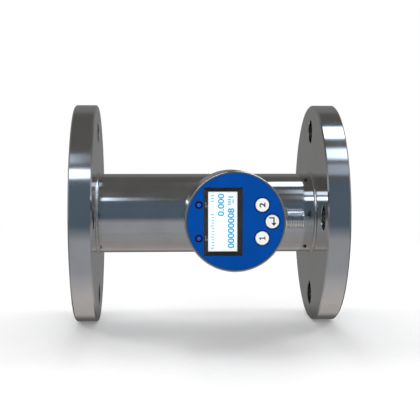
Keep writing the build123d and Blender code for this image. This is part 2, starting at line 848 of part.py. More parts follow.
def connector_insert():
    """Moulded pin carrier with a coding rib in the socket."""
    floor = plug_reach - plug_socket_depth
    face = floor + insert_floor
    outer_r = plug_socket_r - slide_fit
    insert = rod(plug_tail_start + insert_inset, floor, plug_tail_bore_r - slide_fit)
    insert += rod(floor, face, outer_r)
    rib = Box(rib_width, rib_height, rib_length, align=UPRIGHT)
    insert += Pos(0, outer_r - rib_height / 2, face) * rib & rod(0, plug_reach, outer_r)
    for x, y in pin_places():
        insert -= Pos(x, y, 0) * rod(plug_tail_start, face, pin_d / 2 + press_room)
    return PLUG * insert


def pin_places():
    """Places of the pins around the connector's axis."""
    turns = [math.radians(45 + 360 * number / pin_count) for number in range(pin_count)]
    return [(pin_circle / 2 * math.cos(turn), pin_circle / 2 * math.sin(turn)) for turn in turns]


def connector_pins():
    """Contact pins with rounded tips."""
    pin = rod(plug_tail_start - pin_tail, plug_reach - pin_recess, pin_d / 2)
    pin = fillet(pin.edges().filter_by(GeomType.CIRCLE).sort_by(Axis.Z)[-1], pin_tip_round)
    return PLUG * Compound(children=[Pos(x, y, 0) * pin for x, y in pin_places()])


def connector_lead():
    """Lead from the back of the connector down to the signal board."""
    start = plug_tail_start + insert_inset
    turn_at = start - 2 * plug_lead_radius
    path = FilletPolyline(
        (start, 0, plug_height),
        (turn_at, 0, plug_height),
        (turn_at, 0, signal_board_front),
        radius=plug_lead_radius,
    )
    section = Plane(origin=path @ 0, z_dir=path % 0) * Circle(plug_lead_d / 2)
    return HEAD * sweep(section, path=path)


def pieces():
    """Every piece of the meter by name."""
    made = {
        "inlet_flange": inlet_flange(),
        "outlet_flange": across_middle(inlet_flange()),
        "meter_tube": meter_tube(),
        "inlet_neck_weld": inlet_neck_weld(),
        "outlet_neck_weld": across_middle(inlet_neck_weld()),
        "inlet_face_weld": inlet_face_weld(),
        "outlet_face_weld": across_middle(inlet_face_weld()),
        "inlet_straightener": inlet_straightener(),
        "outlet_straightener": outlet_straightener(),
        "inlet_retaining_ring": retaining_ring(inlet_ring_start - retainer_thickness),
        "outlet_retaining_ring": retaining_ring(outlet_ring_end),
        "rotor_shaft": rotor_shaft(),
        "inlet_thrust_washer": thrust_washer(inlet_hub_end + washer_proud - washer_thickness),
        "outlet_thrust_washer": thrust_washer(outlet_hub_start - washer_proud),
        "turbine_rotor": turbine_rotor(),
        "rotor_bush": rotor_bush(),
        "sensor_boss": sensor_boss(),
        "boss_weld": boss_weld(),
        "pickup_pole": pickup_pole(),
        "pickup_bobbin": pickup_bobbin(),
        "pickup_winding": pickup_winding(),
        "pickup_magnet": pickup_magnet(),
        "pickup_cap": pickup_cap(),
        "pickup_lead": pickup_lead(),
        "swivel_oring": swivel_oring(),
        "swivel_washer": swivel_washer(),
        "swivel_ring": swivel_ring(),
        "swivel_stop_screw": swivel_stop_screw(),
        "head_can": head_can(),
        "bezel_ring": bezel_ring(),
        "face_gasket": face_gasket(),
        "face_plate": face_plate(),
        "window_frame": window_frame(),
        "display_window": display_window(),
        "lcd_panel": lcd_panel(),
        "display_board": display_board(),
        "key_switches": key_switches(),
        "signal_board": signal_board(),
        "rear_pillars": pillars(can_floor, signal_board_back),
        "front_pillars": pillars(signal_board_front, board_back),
        "board_screws": board_screws(),
        "connector_shell": connector_shell(),
        "connector_gasket": connector_gasket(),
        "connector_nut": connector_nut(),
        "connector_insert": connector_insert(),
        "connector_pins": connector_pins(),
        "connector_lead": connector_lead(),
    }
    for side, place in light_places.items():
        made[f"light_collar_{side}"] = light_collar(place)
        made[f"light_pipe_{side}"] = light_pipe(place)
    for name, place in key_places.items():
        made[name] = key_cap(place)
        made[f"{name}_plunger"] = key_plunger(place)
    return made


os.makedirs("parts", exist_ok=True)
for name, solid in pieces().items():
    export_step(solid, f"parts/{name}.step")
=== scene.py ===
import json
import math

import bpy
from bpy.props import FloatProperty, FloatVectorProperty, PointerProperty
from mathutils import Matrix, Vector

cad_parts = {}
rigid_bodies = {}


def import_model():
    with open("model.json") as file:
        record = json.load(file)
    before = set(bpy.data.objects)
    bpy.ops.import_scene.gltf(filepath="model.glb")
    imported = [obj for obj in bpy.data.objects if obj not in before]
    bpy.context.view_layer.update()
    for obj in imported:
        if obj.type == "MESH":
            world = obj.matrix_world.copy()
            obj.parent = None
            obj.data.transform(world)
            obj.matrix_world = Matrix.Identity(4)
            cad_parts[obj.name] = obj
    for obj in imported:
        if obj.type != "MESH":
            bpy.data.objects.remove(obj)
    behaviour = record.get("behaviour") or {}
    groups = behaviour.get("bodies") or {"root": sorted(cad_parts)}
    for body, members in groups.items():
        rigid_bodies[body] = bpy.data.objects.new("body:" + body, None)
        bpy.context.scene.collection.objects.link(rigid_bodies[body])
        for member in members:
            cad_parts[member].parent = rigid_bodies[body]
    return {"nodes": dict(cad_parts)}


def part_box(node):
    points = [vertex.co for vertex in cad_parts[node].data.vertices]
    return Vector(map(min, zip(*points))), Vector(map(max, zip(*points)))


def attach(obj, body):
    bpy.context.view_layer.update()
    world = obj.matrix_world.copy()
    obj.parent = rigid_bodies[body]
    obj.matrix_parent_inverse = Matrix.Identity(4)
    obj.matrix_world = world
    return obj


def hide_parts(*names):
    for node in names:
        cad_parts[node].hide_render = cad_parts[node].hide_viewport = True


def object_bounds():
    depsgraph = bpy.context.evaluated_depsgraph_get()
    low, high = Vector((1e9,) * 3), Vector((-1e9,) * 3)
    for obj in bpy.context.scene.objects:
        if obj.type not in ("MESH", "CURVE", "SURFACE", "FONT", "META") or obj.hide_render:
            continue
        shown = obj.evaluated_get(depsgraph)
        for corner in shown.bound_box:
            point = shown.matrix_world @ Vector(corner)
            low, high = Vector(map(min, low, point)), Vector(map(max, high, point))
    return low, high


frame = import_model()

bl_info = {
    "name": "Flanged Turbine Flow Meter",
    "version": (1, 0, 0),
    "blender": (4, 5, 0),
    "location": "View3D > Sidebar > Flow Meter",
    "description": "Finishes, weld beads, thread, figures and key marks of a flanged flow meter",
    "category": "Object",
}

CAD_LOW, CAD_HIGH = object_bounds()
MM = 0.001
MERGED = MM / 1000  # points of a mesh that are nearer than this become one
ROUND_STEPS = 64  # faces round a turned piece

# The pipe runs along X, the head faces -Y, and the connector runs beside the pipe.
PIPE_AXIS = (1.0, 0.0, 0.0)
PIPE_CENTRE = (0.0, 0.0, 0.0)
HEAD_AXIS = (0.0, 1.0, 0.0)
HEAD_CENTRE = (116.4 * MM, 0.0, 0.0)
CONNECTOR_CENTRE = (0.0, -67.0 * MM, 0.0)


def linear(hex_colour):
    """Linear red, green, blue and alpha of an sRGB hex colour."""
    channels = [int(hex_colour[at : at + 2], 16) / 255 for at in (1, 3, 5)]
    return (*(c / 12.92 if c <= 0.04045 else ((c + 0.055) / 1.055) ** 2.4 for c in channels), 1.0)


# Sizes and colours that a user would change


def length(name, description, millimetres):
    """A length property, kept in metres."""
    return FloatProperty(
        name=name, description=description, default=millimetres * MM, min=0.0, unit="LENGTH"
    )


def colour(name, description, hex_colour):
    """A colour property, kept as linear light."""
    return FloatVectorProperty(
        name=name, description=description, default=linear(hex_colour)[:3], subtype="COLOR",
        size=3, min=0.0, max=1.0,
    )


class MeterBeadSizes(bpy.types.PropertyGroup):
    leg: length("Bead leg", "How far a neck weld reaches along the pipe", 1.3)
    crown: length("Crown", "How far the bead stands above a straight line between its toes", 0.28)
    ripple_pitch: length("Ripple pitch", "From one frozen ripple to the next", 1.1)
    ripple_height: length("Ripple height", "From a ripple's valley to its top", 0.07)
    ripple_bow: length("Ripple bow", "How far a ripple's middle trails its ends", 0.4)
    unevenness: length("Unevenness", "Random wander of the bead's skin", 0.02)


class MeterThreadSizes(bpy.types.PropertyGroup):
    diameter: length("Thread diameter", "Over the crests", 14.0)
    # A real thread of this size has a pitch of 1.5 mm; drawn a little coarser so that it shows.
    pitch: length("Pitch", "From crest to crest", 1.8)
    depth: length("Depth", "From crest to root", 0.9)
    relief: length("Relief diameter", "Of the groove between hexagon and thread", 13.2)
    start: length("Thread start", "From the hexagon's outer side", 1.1)
    lip: length("Lip", "Width of the plain lip at the thread's outer end", 1.7)
    hexagon: length("Hexagon", "Across its flats", 17.0)
    socket: length("Socket diameter", "Of the opening at the outer end", 11.2)


class MeterDisplaySizes(bpy.types.PropertyGroup):
    rate_height: length("Rate figures", "Height of the upper line's figures", 4.5)
    rate_length: length("Rate line", "Length of the upper line of figures", 15.4)
    total_height: length("Total figures", "Height of the lower line's figures", 4.7)
    total_length: length("Total line", "Length of the lower line of figures", 27.4)
    key_height: length("Key figures", "Height of the figures on the keys", 4.2)
    # The key border is painted shade: a dark ring on the face round each key, where shade falls in the
    # gap round it.
    border_start: length("Key border diameter", "Inner diameter of the line round a key", 9.9)
    border: length("Key border", "Width of the dark line printed round a key", 0.6)
    ink: length("Ink thickness", "How thick figures and marks are", 0.06)
    weight: FloatProperty(
        name="Stroke weight", description="How far strokes are thickened, in letter sizes",
        default=0.025, min=0.0, max=0.1,
    )


class MeterColours(bpy.types.PropertyGroup):
    steel: colour("Stainless steel", "Polished stainless steel seen straight on", "#CBC9C6")
    # Colour of the painted shade ring round each key, which stands for the shade in the gap round the
    # key.
    face: colour("Face blue", "Printed film of the face", "#024699")
    border: colour("Key borders", "Dark line printed round the keys", "#02286C")
    frame: colour("Frame", "Printed border round the display", "#3A3630")
    glass: colour("Display ground", "Back-lit ground behind the figures", "#F4FAFC")
    figures: colour("Figures", "Figures on the display", "#4FC3F2")
    marks: colour("Small marks", "Bar scale on the display", "#9FDDF6")
    key: colour("Keys", "Moulded key caps", "#E9EBEA")
    key_mark: colour("Key marks", "Printed marks on the key caps", "#3B4148")
    nickel: colour("Nickel", "Nickel plate of the cable connector", "#D8D7D6")


# Making nodes and finishes


def add(tree, kind, inputs=None, stops=(), **settings):
    """Adds a shader node. Each input is a value or another node's output; stops are a ramp's."""
    node = tree.nodes.new("ShaderNode" + kind)
    for name, value in settings.items():
        setattr(node, name, value)
    for socket, value in (inputs or {}).items():
        if isinstance(value, bpy.types.NodeSocket):
            tree.links.new(value, node.inputs[socket])
        else:
            node.inputs[socket].default_value = value
    for number, (place, shade) in enumerate(stops):
        elements = node.color_ramp.elements
        element = elements[number] if number < 2 else elements.new(place)
        element.position = place
        element.color = linear(shade) if isinstance(shade, str) else (*shade[:3], 1.0)
    return node


def fresh_material(name):
    """A new material, its empty node tree, and the place on a piece that patterns follow."""
    material = bpy.data.materials.new(name)
    material.use_nodes = True
    tree = material.node_tree
    tree.nodes.clear()
    return material, tree, add(tree, "TexCoord").outputs["Object"]


def solid_surface(tree, relief, depth, inputs, strength=1.0):
    """Ends a material with a shader whose skin follows a relief. Depth is in millimetres."""
    bump = add(tree, "Bump", {"Height": relief, "Distance": depth * MM, "Strength": strength})
    shader = add(tree, "BsdfPrincipled", {"Normal": bump.outputs["Normal"], **inputs})
    add(tree, "OutputMaterial", {"Surface": shader.outputs["BSDF"]})


def every(millimetres):
    """Texture scale at which a pattern comes again after so many millimetres."""
    return 1.0 / (millimetres * MM)


def shade_pair(tint, darker, lighter):
    """A dark and a light shade of a colour, for a surface that is never quite even."""
    return [tuple(min(1.0, c * share) for c in tint[:3]) for share in (darker, lighter)]


# How tool marks and handling show on metal: detail of the handling marks, the darkest shade, where
# on the uneven pattern the shades end, and the least and greatest roughness. Shades and roughness
# are shares of the given ones.
TURNED = {"detail": 4.0, "darkest": 0.9, "tones": (0.35, 0.85), "rough": (0.7, 1.45)}
DRAWN = {"detail": 3.0, "darkest": 0.88, "tones": (0.4, 0.9), "rough": (0.65, 1.5)}
LIGHTEST = 1.04
TOOL_SHARE = 0.6  # weight of the tool marks against the handling marks
UNEVEN = (0.4, 1.1)  # reach of the two together


def worked_metal(name, tool_marks, tint, roughness, depth, patina, detail, darkest, tones, rough):
    """Metal that tool marks and handling make uneven in shade and gloss. Tool_marks makes the
    marks' pattern from a tree and a place. Depth and patina are in millimetres."""
    material, tree, place = fresh_material(name)
    marks = tool_marks(tree, place)
    handled = add(
        tree, "TexNoise", {"Vector": place, "Scale": every(patina), "Detail": detail}
    ).outputs["Fac"]
    uneven = add(
        tree, "Math", {0: marks, 1: TOOL_SHARE, 2: handled}, operation="MULTIPLY_ADD"
    ).outputs[0]
    shades = zip(tones, shade_pair(tint, darkest, LIGHTEST))
    shade = add(tree, "ValToRGB", {"Fac": uneven}, stops=shades).outputs["Color"]
    gloss = add(
        tree, "MapRange",
        {
            "Value": uneven, "From Min": UNEVEN[0], "From Max": UNEVEN[1],
            "To Min": roughness * rough[0], "To Max": roughness * rough[1],
        },
    ).outputs["Result"]
    solid_surface(tree, marks, depth, {"Base Color": shade, "Metallic": 1.0, "Roughness": gloss})
    return material


def turned_metal(name, tint, roughness, axis, centre, feed, depth, patina=25.0):
    """Metal turned in a lathe: fine grooves run round the axis on rims and faces alike, so a
    highlight breaks into thin threads across them. Feed and depth are in millimetres."""

    def grooves(tree, place):
        """A pattern that changes only along the axis and away from it."""
        level = tuple(1.0 - a for a in axis)
        offset = add(tree, "VectorMath", {0: place, 1: centre}, operation="SUBTRACT").outputs[0]
        across = add(tree, "VectorMath", {0: offset, 1: level}, operation="MULTIPLY").outputs[0]
        radius = add(tree, "VectorMath", {0: across}, operation="LENGTH").outputs["Value"]
        along = add(tree, "VectorMath", {0: offset, 1: axis}, operation="DOT_PRODUCT").outputs["Value"]
        return add(
            tree, "TexNoise",
            {
                "W": add(tree, "Math", {0: along, 1: radius}, operation="ADD").outputs[0],
                "Scale": every(feed), "Detail": 3.0, "Roughness": 0.65,
            },
            noise_dimensions="1D",
        ).outputs["Fac"]

    return worked_metal(name, grooves, tint, roughness, depth, patina, **TURNED)


def drawn_metal(name, tint, roughness, stretch, grain, depth, patina=20.0):
    """Metal drawn, rolled or ground one way: its scratches are stretched along that way, so it
    is bright in lines. Stretch has a small number on the long axis; grain and depth are in
    millimetres."""

    def scratches(tree, place):
        """A pattern stretched along the way of drawing."""
        drawn = add(tree, "Mapping", {"Vector": place, "Scale": stretch}).outputs["Vector"]
        return add(
            tree, "TexNoise",
            {"Vector": drawn, "Scale": every(grain), "Detail": 4.0, "Roughness": 0.6},
        ).outputs["Fac"]

    return worked_metal(name, scratches, tint, roughness, depth, patina, **DRAWN)


def moulded(name, tint, roughness, grain, depth, specular=0.5, variation=0.12):
    """Plastic, rubber, film or enamel: a fine even grain of the mould or print breaks the shine.
    Grain and depth are in millimetres."""
    material, tree, place = fresh_material(name)
    pattern = add(
        tree, "TexNoise", {"Vector": place, "Scale": every(grain), "Detail": 3.0}
    ).outputs["Fac"]
    broad = add(tree, "TexNoise", {"Vector": place, "Scale": every(14.0), "Detail": 2.0}).outputs["Fac"]
    dark, light = shade_pair(tint, 1.0 - variation, 1.0 + variation / 2)
    shade = add(tree, "ValToRGB", {"Fac": broad}, stops=[(0.3, dark), (0.65, light)]).outputs["Color"]
    gloss = add(
        tree, "MapRange",
        {
            "Value": pattern, "From Min": 0.2, "From Max": 0.8,
            "To Min": roughness * 0.85, "To Max": roughness * 1.15,
        },
    ).outputs["Result"]
    solid_surface(
        tree, pattern, depth,
        {"Base Color": shade, "Roughness": gloss, "Specular IOR Level": specular},
    )
    return material


def clear_acrylic():
    """Cast acrylic sheet, polished: nearly all light passes straight through and only a faint
    sharp gloss lies on it, with fine polishing haze."""
    material, tree, place = fresh_material("cast_acrylic_polished")
    haze = add(tree, "TexNoise", {"Vector": place, "Scale": every(6.0), "Detail": 5.0}).outputs["Fac"]
    gloss = add(
        tree, "MapRange",
        {"Value": haze, "From Min": 0.3, "From Max": 0.7, "To Min": 0.03, "To Max": 0.09},
    ).outputs["Result"]
    facing = add(tree, "Fresnel", {"IOR": 1.49}).outputs["Fac"]
    clear = add(tree, "BsdfTransparent").outputs[0]
    shine = add(tree, "BsdfGlossy", {"Roughness": gloss}).outputs[0]
    mixed = add(tree, "MixShader", {0: facing, 1: clear, 2: shine}).outputs[0]
    add(tree, "OutputMaterial", {"Surface": mixed})
    return material


def lit_display(tint):
    """Back-lit liquid crystal cell: an even pale glow, with the fine grid of its cells and a
    slight fall towards the edges."""
    material, tree, place = fresh_material("liquid_crystal_backlit")
    low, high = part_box("lcd_panel")
    centre = tuple((low + high) / 2)
    cell = 0.45 * MM  # real cells are 0.15 mm; drawn three times as coarse so that they show
    upright = add(
        tree, "Mapping", {"Vector": place, "Rotation": (math.radians(90), 0.0, 0.0)}
    ).outputs["Vector"]
    grid = add(
        tree, "TexBrick",
        {
            "Vector": upright, "Scale": 1.0,
            "Brick Width": cell, "Row Height": cell, "Mortar Size": cell * 0.07,
            "Color1": (1.0, 1.0, 1.0, 1.0), "Color2": (0.985, 0.985, 0.985, 1.0),
            "Mortar": (0.93, 0.94, 0.95, 1.0),
        },
        offset=0.0,
    ).outputs["Color"]
    offset = add(tree, "VectorMath", {0: place, 1: centre}, operation="SUBTRACT").outputs[0]
    per_side = (1 / (high.x - low.x), 0.0, 1 / (high.z - low.z))
    reach = add(tree, "VectorMath", {0: offset, 1: per_side}, operation="MULTIPLY").outputs[0]
    fall = add(tree, "VectorMath", {0: reach}, operation="LENGTH").outputs["Value"]
    glow = add(
        tree, "ValToRGB", {"Fac": fall}, stops=[(0.4, tint), (0.75, tuple(c * 0.95 for c in tint))]
    ).outputs["Color"]
    shade = add(
        tree, "Mix", {0: 1.0, 6: glow, 7: grid}, data_type="RGBA", blend_type="MULTIPLY"
    ).outputs[2]
    shader = add(
        tree, "BsdfPrincipled",
        {
            "Base Color": shade, "Roughness": 0.35, "Specular IOR Level": 0.2,
            "Emission Color": shade, "Emission Strength": 0.42,
        },
    )
    add(tree, "OutputMaterial", {"Surface": shader.outputs["BSDF"]})
    return material


def printed_board():
    """Glass-fibre board under green solder mask: copper tracks show through as lighter lines."""
    material, tree, place = fresh_material("solder_mask_on_glass_fibre")
    tracks = add(
        tree, "TexVoronoi", {"Vector": place, "Scale": every(3.2)},
        feature="DISTANCE_TO_EDGE", distance="EUCLIDEAN",
    ).outputs["Distance"]
    shade = add(
        tree, "ValToRGB", {"Fac": tracks}, stops=[(0.04, "#3E8A4E"), (0.08, "#14532B")]
    ).outputs["Color"]
    solid_surface(tree, tracks, 0.03, {"Base Color": shade, "Roughness": 0.3}, strength=0.6)
    return material


def wound_wire():
    """Enamelled copper wire wound in close turns: bands of reddish shine round the bobbin."""
    material, tree, place = fresh_material("enamelled_copper_wound")
    turns = add(
        tree, "TexWave", {"Vector": place, "Scale": every(2.4), "Distortion": 0.4, "Detail": 1.0},
        wave_type="BANDS", bands_direction="Y",
    ).outputs["Fac"]
    shade = add(
        tree, "ValToRGB", {"Fac": turns}, stops=[(0.1, "#5E2412"), (0.7, "#B8612F")]
    ).outputs["Color"]
    solid_surface(tree, turns, 0.1, {"Base Color": shade, "Metallic": 0.6, "Roughness": 0.28})
    return material


def weld_metal(tint):
    """Stainless weld metal, run by hand and brushed: bright, a little rough, with faint straw
    heat colour in patches."""
    material, tree, place = fresh_material("stainless_weld_brushed")
    patches, skin = (
        add(tree, "TexNoise", {"Vector": place, "Scale": every(size), "Detail": detail}).outputs["Fac"]
        for size, detail in ((7.0, 4.0), (0.5, 3.0))
    )
    straw = tuple(a * b for a, b in zip(tint, (0.95, 0.88, 0.74)))
    shade = add(
        tree, "ValToRGB", {"Fac": patches}, stops=[(0.45, tint), (0.75, straw)]
    ).outputs["Color"]
    gloss = add(
        tree, "MapRange",
        {"Value": skin, "From Min": 0.3, "From Max": 0.7, "To Min": 0.07, "To Max": 0.16},
    ).outputs["Result"]
    solid_surface(tree, skin, 0.008, {"Base Color": shade, "Metallic": 1.0, "Roughness": gloss})
    return material


FINISHES = {}  # materials that CAD nodes and new pieces share, by their slot


def dress(material, *nodes):
    """Puts a material on CAD nodes."""
    for name in nodes:
        for slot in frame["nodes"][name].material_slots:
            slot.material = material


# Making meshes


def nothing_selected():
    """Object mode, with nothing selected."""
    if bpy.context.object and bpy.context.object.mode != "OBJECT":
        bpy.ops.object.mode_set(mode="OBJECT")
    bpy.ops.object.select_all(action="DESELECT")


def select_where(piece, wanted):
    """In edit mode, selects the vertices for which wanted(place) is true."""
    bpy.ops.mesh.select_mode(type="VERT")
    bpy.ops.mesh.select_all(action="DESELECT")
    bpy.ops.object.mode_set(mode="OBJECT")
    for vertex in piece.data.vertices:
        vertex.select = wanted(vertex.co)
    bpy.ops.object.mode_set(mode="EDIT")


def single_point(place):
    """Starts a piece as one selected point, in edit mode."""
    nothing_selected()
    bpy.ops.mesh.primitive_plane_add(size=MM, location=place)
    bpy.ops.object.transform_apply(location=True, rotation=True, scale=True)
    bpy.ops.object.mode_set(mode="EDIT")
    bpy.ops.mesh.select_all(action="SELECT")
    bpy.ops.mesh.merge(type="CENTER")
    return bpy.context.object


def extrude_by(step):
    """Extrudes what is selected by a step."""
    bpy.ops.mesh.extrude_region_move(TRANSFORM_OT_translate={"value": step})


def extrude_round(places):
    """Extrudes a selected point from the first place through the others and back to the first."""
    for here, there in zip(places, [*places[1:], places[0]]):
        extrude_by(tuple(b - a for a, b in zip(here, there)))


def clean_and_close():
    """Merges doubles, turns all faces outwards and leaves edit mode."""
    bpy.ops.mesh.select_all(action="SELECT")
    bpy.ops.mesh.remove_doubles(threshold=MERGED)
    bpy.ops.mesh.normals_make_consistent(inside=False)
    bpy.ops.object.mode_set(mode="OBJECT")


def turned(name, profile, centre, axis, steps):
    """Turns a closed profile round an axis. Profile points are places in the row frame."""
    piece = single_point(profile[0])
    piece.name = name
    extrude_round(profile)
    bpy.ops.mesh.select_all(action="SELECT")
    bpy.ops.mesh.remove_doubles(threshold=MERGED)
    bpy.ops.mesh.spin(steps=steps, angle=2 * math.pi, center=centre, axis=axis)
    clean_and_close()
    return piece


def turned_along_pipe(name, profile, centre, steps=ROUND_STEPS):
    """Turns a closed profile of (X, radius) points round a line along X through a centre."""
    places = [(along, centre[1], centre[2] + radius) for along, radius in profile]
    return turned(name, places, centre, PIPE_AXIS, steps)


def apply_modifier(piece, kind, **settings):
    """Adds a modifier to a piece and applies it."""
    nothing_selected()
    piece.select_set(True)
    bpy.context.view_layer.objects.active = piece
    modifier = piece.modifiers.new(kind.title(), kind)
    for name, value in settings.items():
        setattr(modifier, name, value)
    bpy.ops.object.modifier_apply(modifier=modifier.name)


def boolean(piece, other, operation):
    """Joins or cuts a piece with another, which is then removed."""
    apply_modifier(piece, "BOOLEAN", object=other, operation=operation, solver="EXACT")
    bpy.data.objects.remove(other)


def finished(piece, material, body, slot_name, *replaced, smooth=None):
    """Gives a piece its material and body, and hides the CAD nodes that it stands for."""
    nothing_selected()
    piece.select_set(True)
    bpy.context.view_layer.objects.active = piece
    bpy.ops.object.transform_apply(location=True, rotation=True, scale=True)
    if smooth is not None:
        bpy.ops.object.shade_smooth_by_angle(angle=math.radians(smooth))
    piece.data.materials.clear()
    piece.data.materials.append(material)
    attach(piece, body)
    if replaced:
        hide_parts(*replaced)


# The stage

# The photographed view, found by fitting a camera to both flange rims
CAMERA_PLACE = (64.02 * MM, -743.9 * MM, 49.2 * MM)
CAMERA_DOWN = 3.613  # degrees that it looks down
CAMERA_TURN = -3.075  # degrees that it is turned round the vertical
CAMERA_LENS = 82.78  # millimetres
CAMERA_SENSOR = 36.0  # millimetres

FLOOR_SIZE = 30.0  # metres
FLOOR_FADE = (0.35, 0.9)  # metres from the origin between which the floor turns plain white
FLOOR_GLOW = 0.13  # added for the camera, so that the lit floor is white
PAINTED_SHADE_REACH = 0.09  # metres beside the pipe up to which metal mirrors a painted shade on the floor

# Lamps, all aimed at the pipe's middle: kind, place and settings. A broad one and a tall narrow
# one behind the meter throw its shade towards the camera, two at the sides lighten the floor
# round it, and the last one lights the face.
LAMP_AIM = (0.1, 0.0, 0.0)
LAMPS = [
    ("SUN", (0.1, 0.75, 0.66), {"energy": 1.7, "angle": math.radians(65)}),
    ("AREA", (0.1, 3.2, 3.9), {"energy": 46.0, "shape": "RECTANGLE", "size": 0.6, "size_y": 3.6}),
    ("AREA", (-2.3, 1.1, 1.6), {"energy": 23.0, "size": 0.9}),
    ("AREA", (2.5, 1.1, 1.6), {"energy": 23.0, "size": 0.9}),
    ("AREA", (0.05, -1.6, 0.45), {"energy": 13.0, "size": 0.9}),
]
PLAIN_ROOM = 0.42  # brightness of the room that matt surfaces see

# The studio that the metal mirrors, in a few plain tones: pale paper on the floor that is brightest
# behind the meter, a dim and cool room towards the camera, a dull ceiling, and grey walls behind
# and at the two ends.
PAPER = "#A8ACB4"
LIT_PAPER = "#E4E0E0"
COOL_ROOM = "#5C6C7C"
CEILING = "#646464"
BACK_WALL = "#808080"
END_WALL = "#90989C"

# Where each of them starts and ends by elevation, with a fade from one to the next: 0 degrees is
# towards the camera, 90 is overhead, 180 behind and -90 down.
ROOM_TONES = [
    (-180, BACK_WALL), (-145, BACK_WALL), (-130, LIT_PAPER), (-105, LIT_PAPER), (-60, PAPER),
    (-25, PAPER), (-10, COOL_ROOM), (30, COOL_ROOM), (45, CEILING), (130, CEILING),
    (140, BACK_WALL), (180, BACK_WALL),
]
# Tones of the two end walls, from low to high
END_TONES = [(0.0, END_WALL), (0.45, END_WALL), (0.75, PAPER), (1.0, CEILING)]
END_STARTS = (0.55, 0.92)  # X of a direction at which the end walls start and are full

# Strip lights of the studio: lowest and highest elevation, the X of the mirrored direction at
# which each starts and at which it is full, and its share of STRIP_LIGHT.
STRIPS = [
    (40.0, 49.0, -0.02, -0.11, 1.8), (56.0, 67.0, -0.07, -0.14, 0.75),
    (43.0, 55.0, 0.12, 0.19, 0.2), (61.0, 74.0, 0.12, 0.2, 0.95), (88.0, 105.0, 0.08, 0.12, 1.5),
]
STRIP_EDGE = 2.0  # degrees over which a strip's edge fades
STRIP_LIGHT = (2.0, 2.42, 3.1)  # linear red, green and blue


def room_walls(tree, way, angle):
    """Colour of the room by elevation, with its end walls, and how much of it is end wall."""
    place = add(
        tree, "Math", {0: angle, 1: 1 / (2 * math.pi), 2: 0.5}, operation="MULTIPLY_ADD"
    ).outputs[0]
    walls = add(
        tree, "ValToRGB", {"Fac": place}, stops=[(at / 360 + 0.5, tone) for at, tone in ROOM_TONES]
    ).outputs["Color"]
    sideways = add(tree, "Math", {0: way.outputs["X"]}, operation="ABSOLUTE").outputs[0]
    ends = add(
        tree, "MapRange",
        {"Value": sideways, "From Min": END_STARTS[0], "From Max": END_STARTS[1]},
    ).outputs["Result"]
    up = add(
        tree, "MapRange", {"Value": way.outputs["Z"], "From Min": -0.6, "From Max": 0.6}
    ).outputs["Result"]
    end_wall = add(tree, "ValToRGB", {"Fac": up}, stops=END_TONES).outputs["Color"]
    room = add(tree, "Mix", {0: ends, 6: walls, 7: end_wall}, data_type="RGBA").outputs[2]
    return room, ends


def strip_lights(tree, way, angle, ends):
    """Brightness of the strip lights, which stop at the end walls."""
    degrees = add(tree, "Math", {0: angle, 1: math.degrees(1.0)}, operation="MULTIPLY").outputs[0]
    strips = 0.0
    for low, high, shows, full, share in STRIPS:
        above, below = (
            add(
                tree, "MapRange",
                {"Value": degrees, "From Min": at - half_edge, "From Max": at + half_edge},
                interpolation_type="SMOOTHSTEP",
            ).outputs["Result"]
            for at, half_edge in ((low, STRIP_EDGE), (high, -STRIP_EDGE))
        )
        side = add(
            tree, "MapRange",
            {"Value": way.outputs["X"], "From Min": shows, "From Max": full, "To Max": share},
            interpolation_type="SMOOTHSTEP",
        ).outputs["Result"]
        lit = add(tree, "Math", {0: above, 1: below}, operation="MULTIPLY").outputs[0]
        strips = add(tree, "Math", {0: lit, 1: side, 2: strips}, operation="MULTIPLY_ADD").outputs[0]
    off_ends = add(tree, "Math", {0: 1.0, 1: ends}, operation="SUBTRACT").outputs[0]
    return add(tree, "Math", {0: strips, 1: off_ends}, operation="MULTIPLY").outputs[0]


def studio_world():
    """White to the camera, a plain level for matt surfaces, and a studio with walls and strip
    lights for mirror-bright metal and glass."""
    world = bpy.data.worlds.new("pale_studio")
    bpy.context.scene.world = world
    world.use_nodes = True
    tree = world.node_tree
    tree.nodes.clear()
    way = add(tree, "SeparateXYZ", {0: add(tree, "TexCoord").outputs["Generated"]})
    towards = add(tree, "Math", {0: way.outputs["Y"], 1: -1.0}, operation="MULTIPLY").outputs[0]
    angle = add(tree, "Math", {0: way.outputs["Z"], 1: towards}, operation="ARCTAN2").outputs[0]
    room, ends = room_walls(tree, way, angle)
    strips = strip_lights(tree, way, angle, ends)
    studio = add(
        tree, "VectorMath", {0: strips, 1: STRIP_LIGHT, 2: room}, operation="MULTIPLY_ADD"
    ).outputs[0]
    mirrored = add(tree, "Background", {"Color": studio}).outputs[0]
    plain, white = (
        add(tree, "Background", {"Color": (1.0, 1.0, 1.0, 1.0), "Strength": level}).outputs[0]
        for level in (PLAIN_ROOM, 1.0)
    )
    path = add(tree, "LightPath").outputs
    bright = add(
        tree, "Math", {0: path["Is Glossy Ray"], 1: path["Is Transmission Ray"]},
        operation="MAXIMUM",
    ).outputs[0]
    lit = add(tree, "MixShader", {0: bright, 1: plain, 2: mirrored}).outputs[0]
    seen = add(tree, "MixShader", {0: path["Is Camera Ray"], 1: lit, 2: white}).outputs[0]
    add(tree, "OutputWorld", {"Surface": seen})


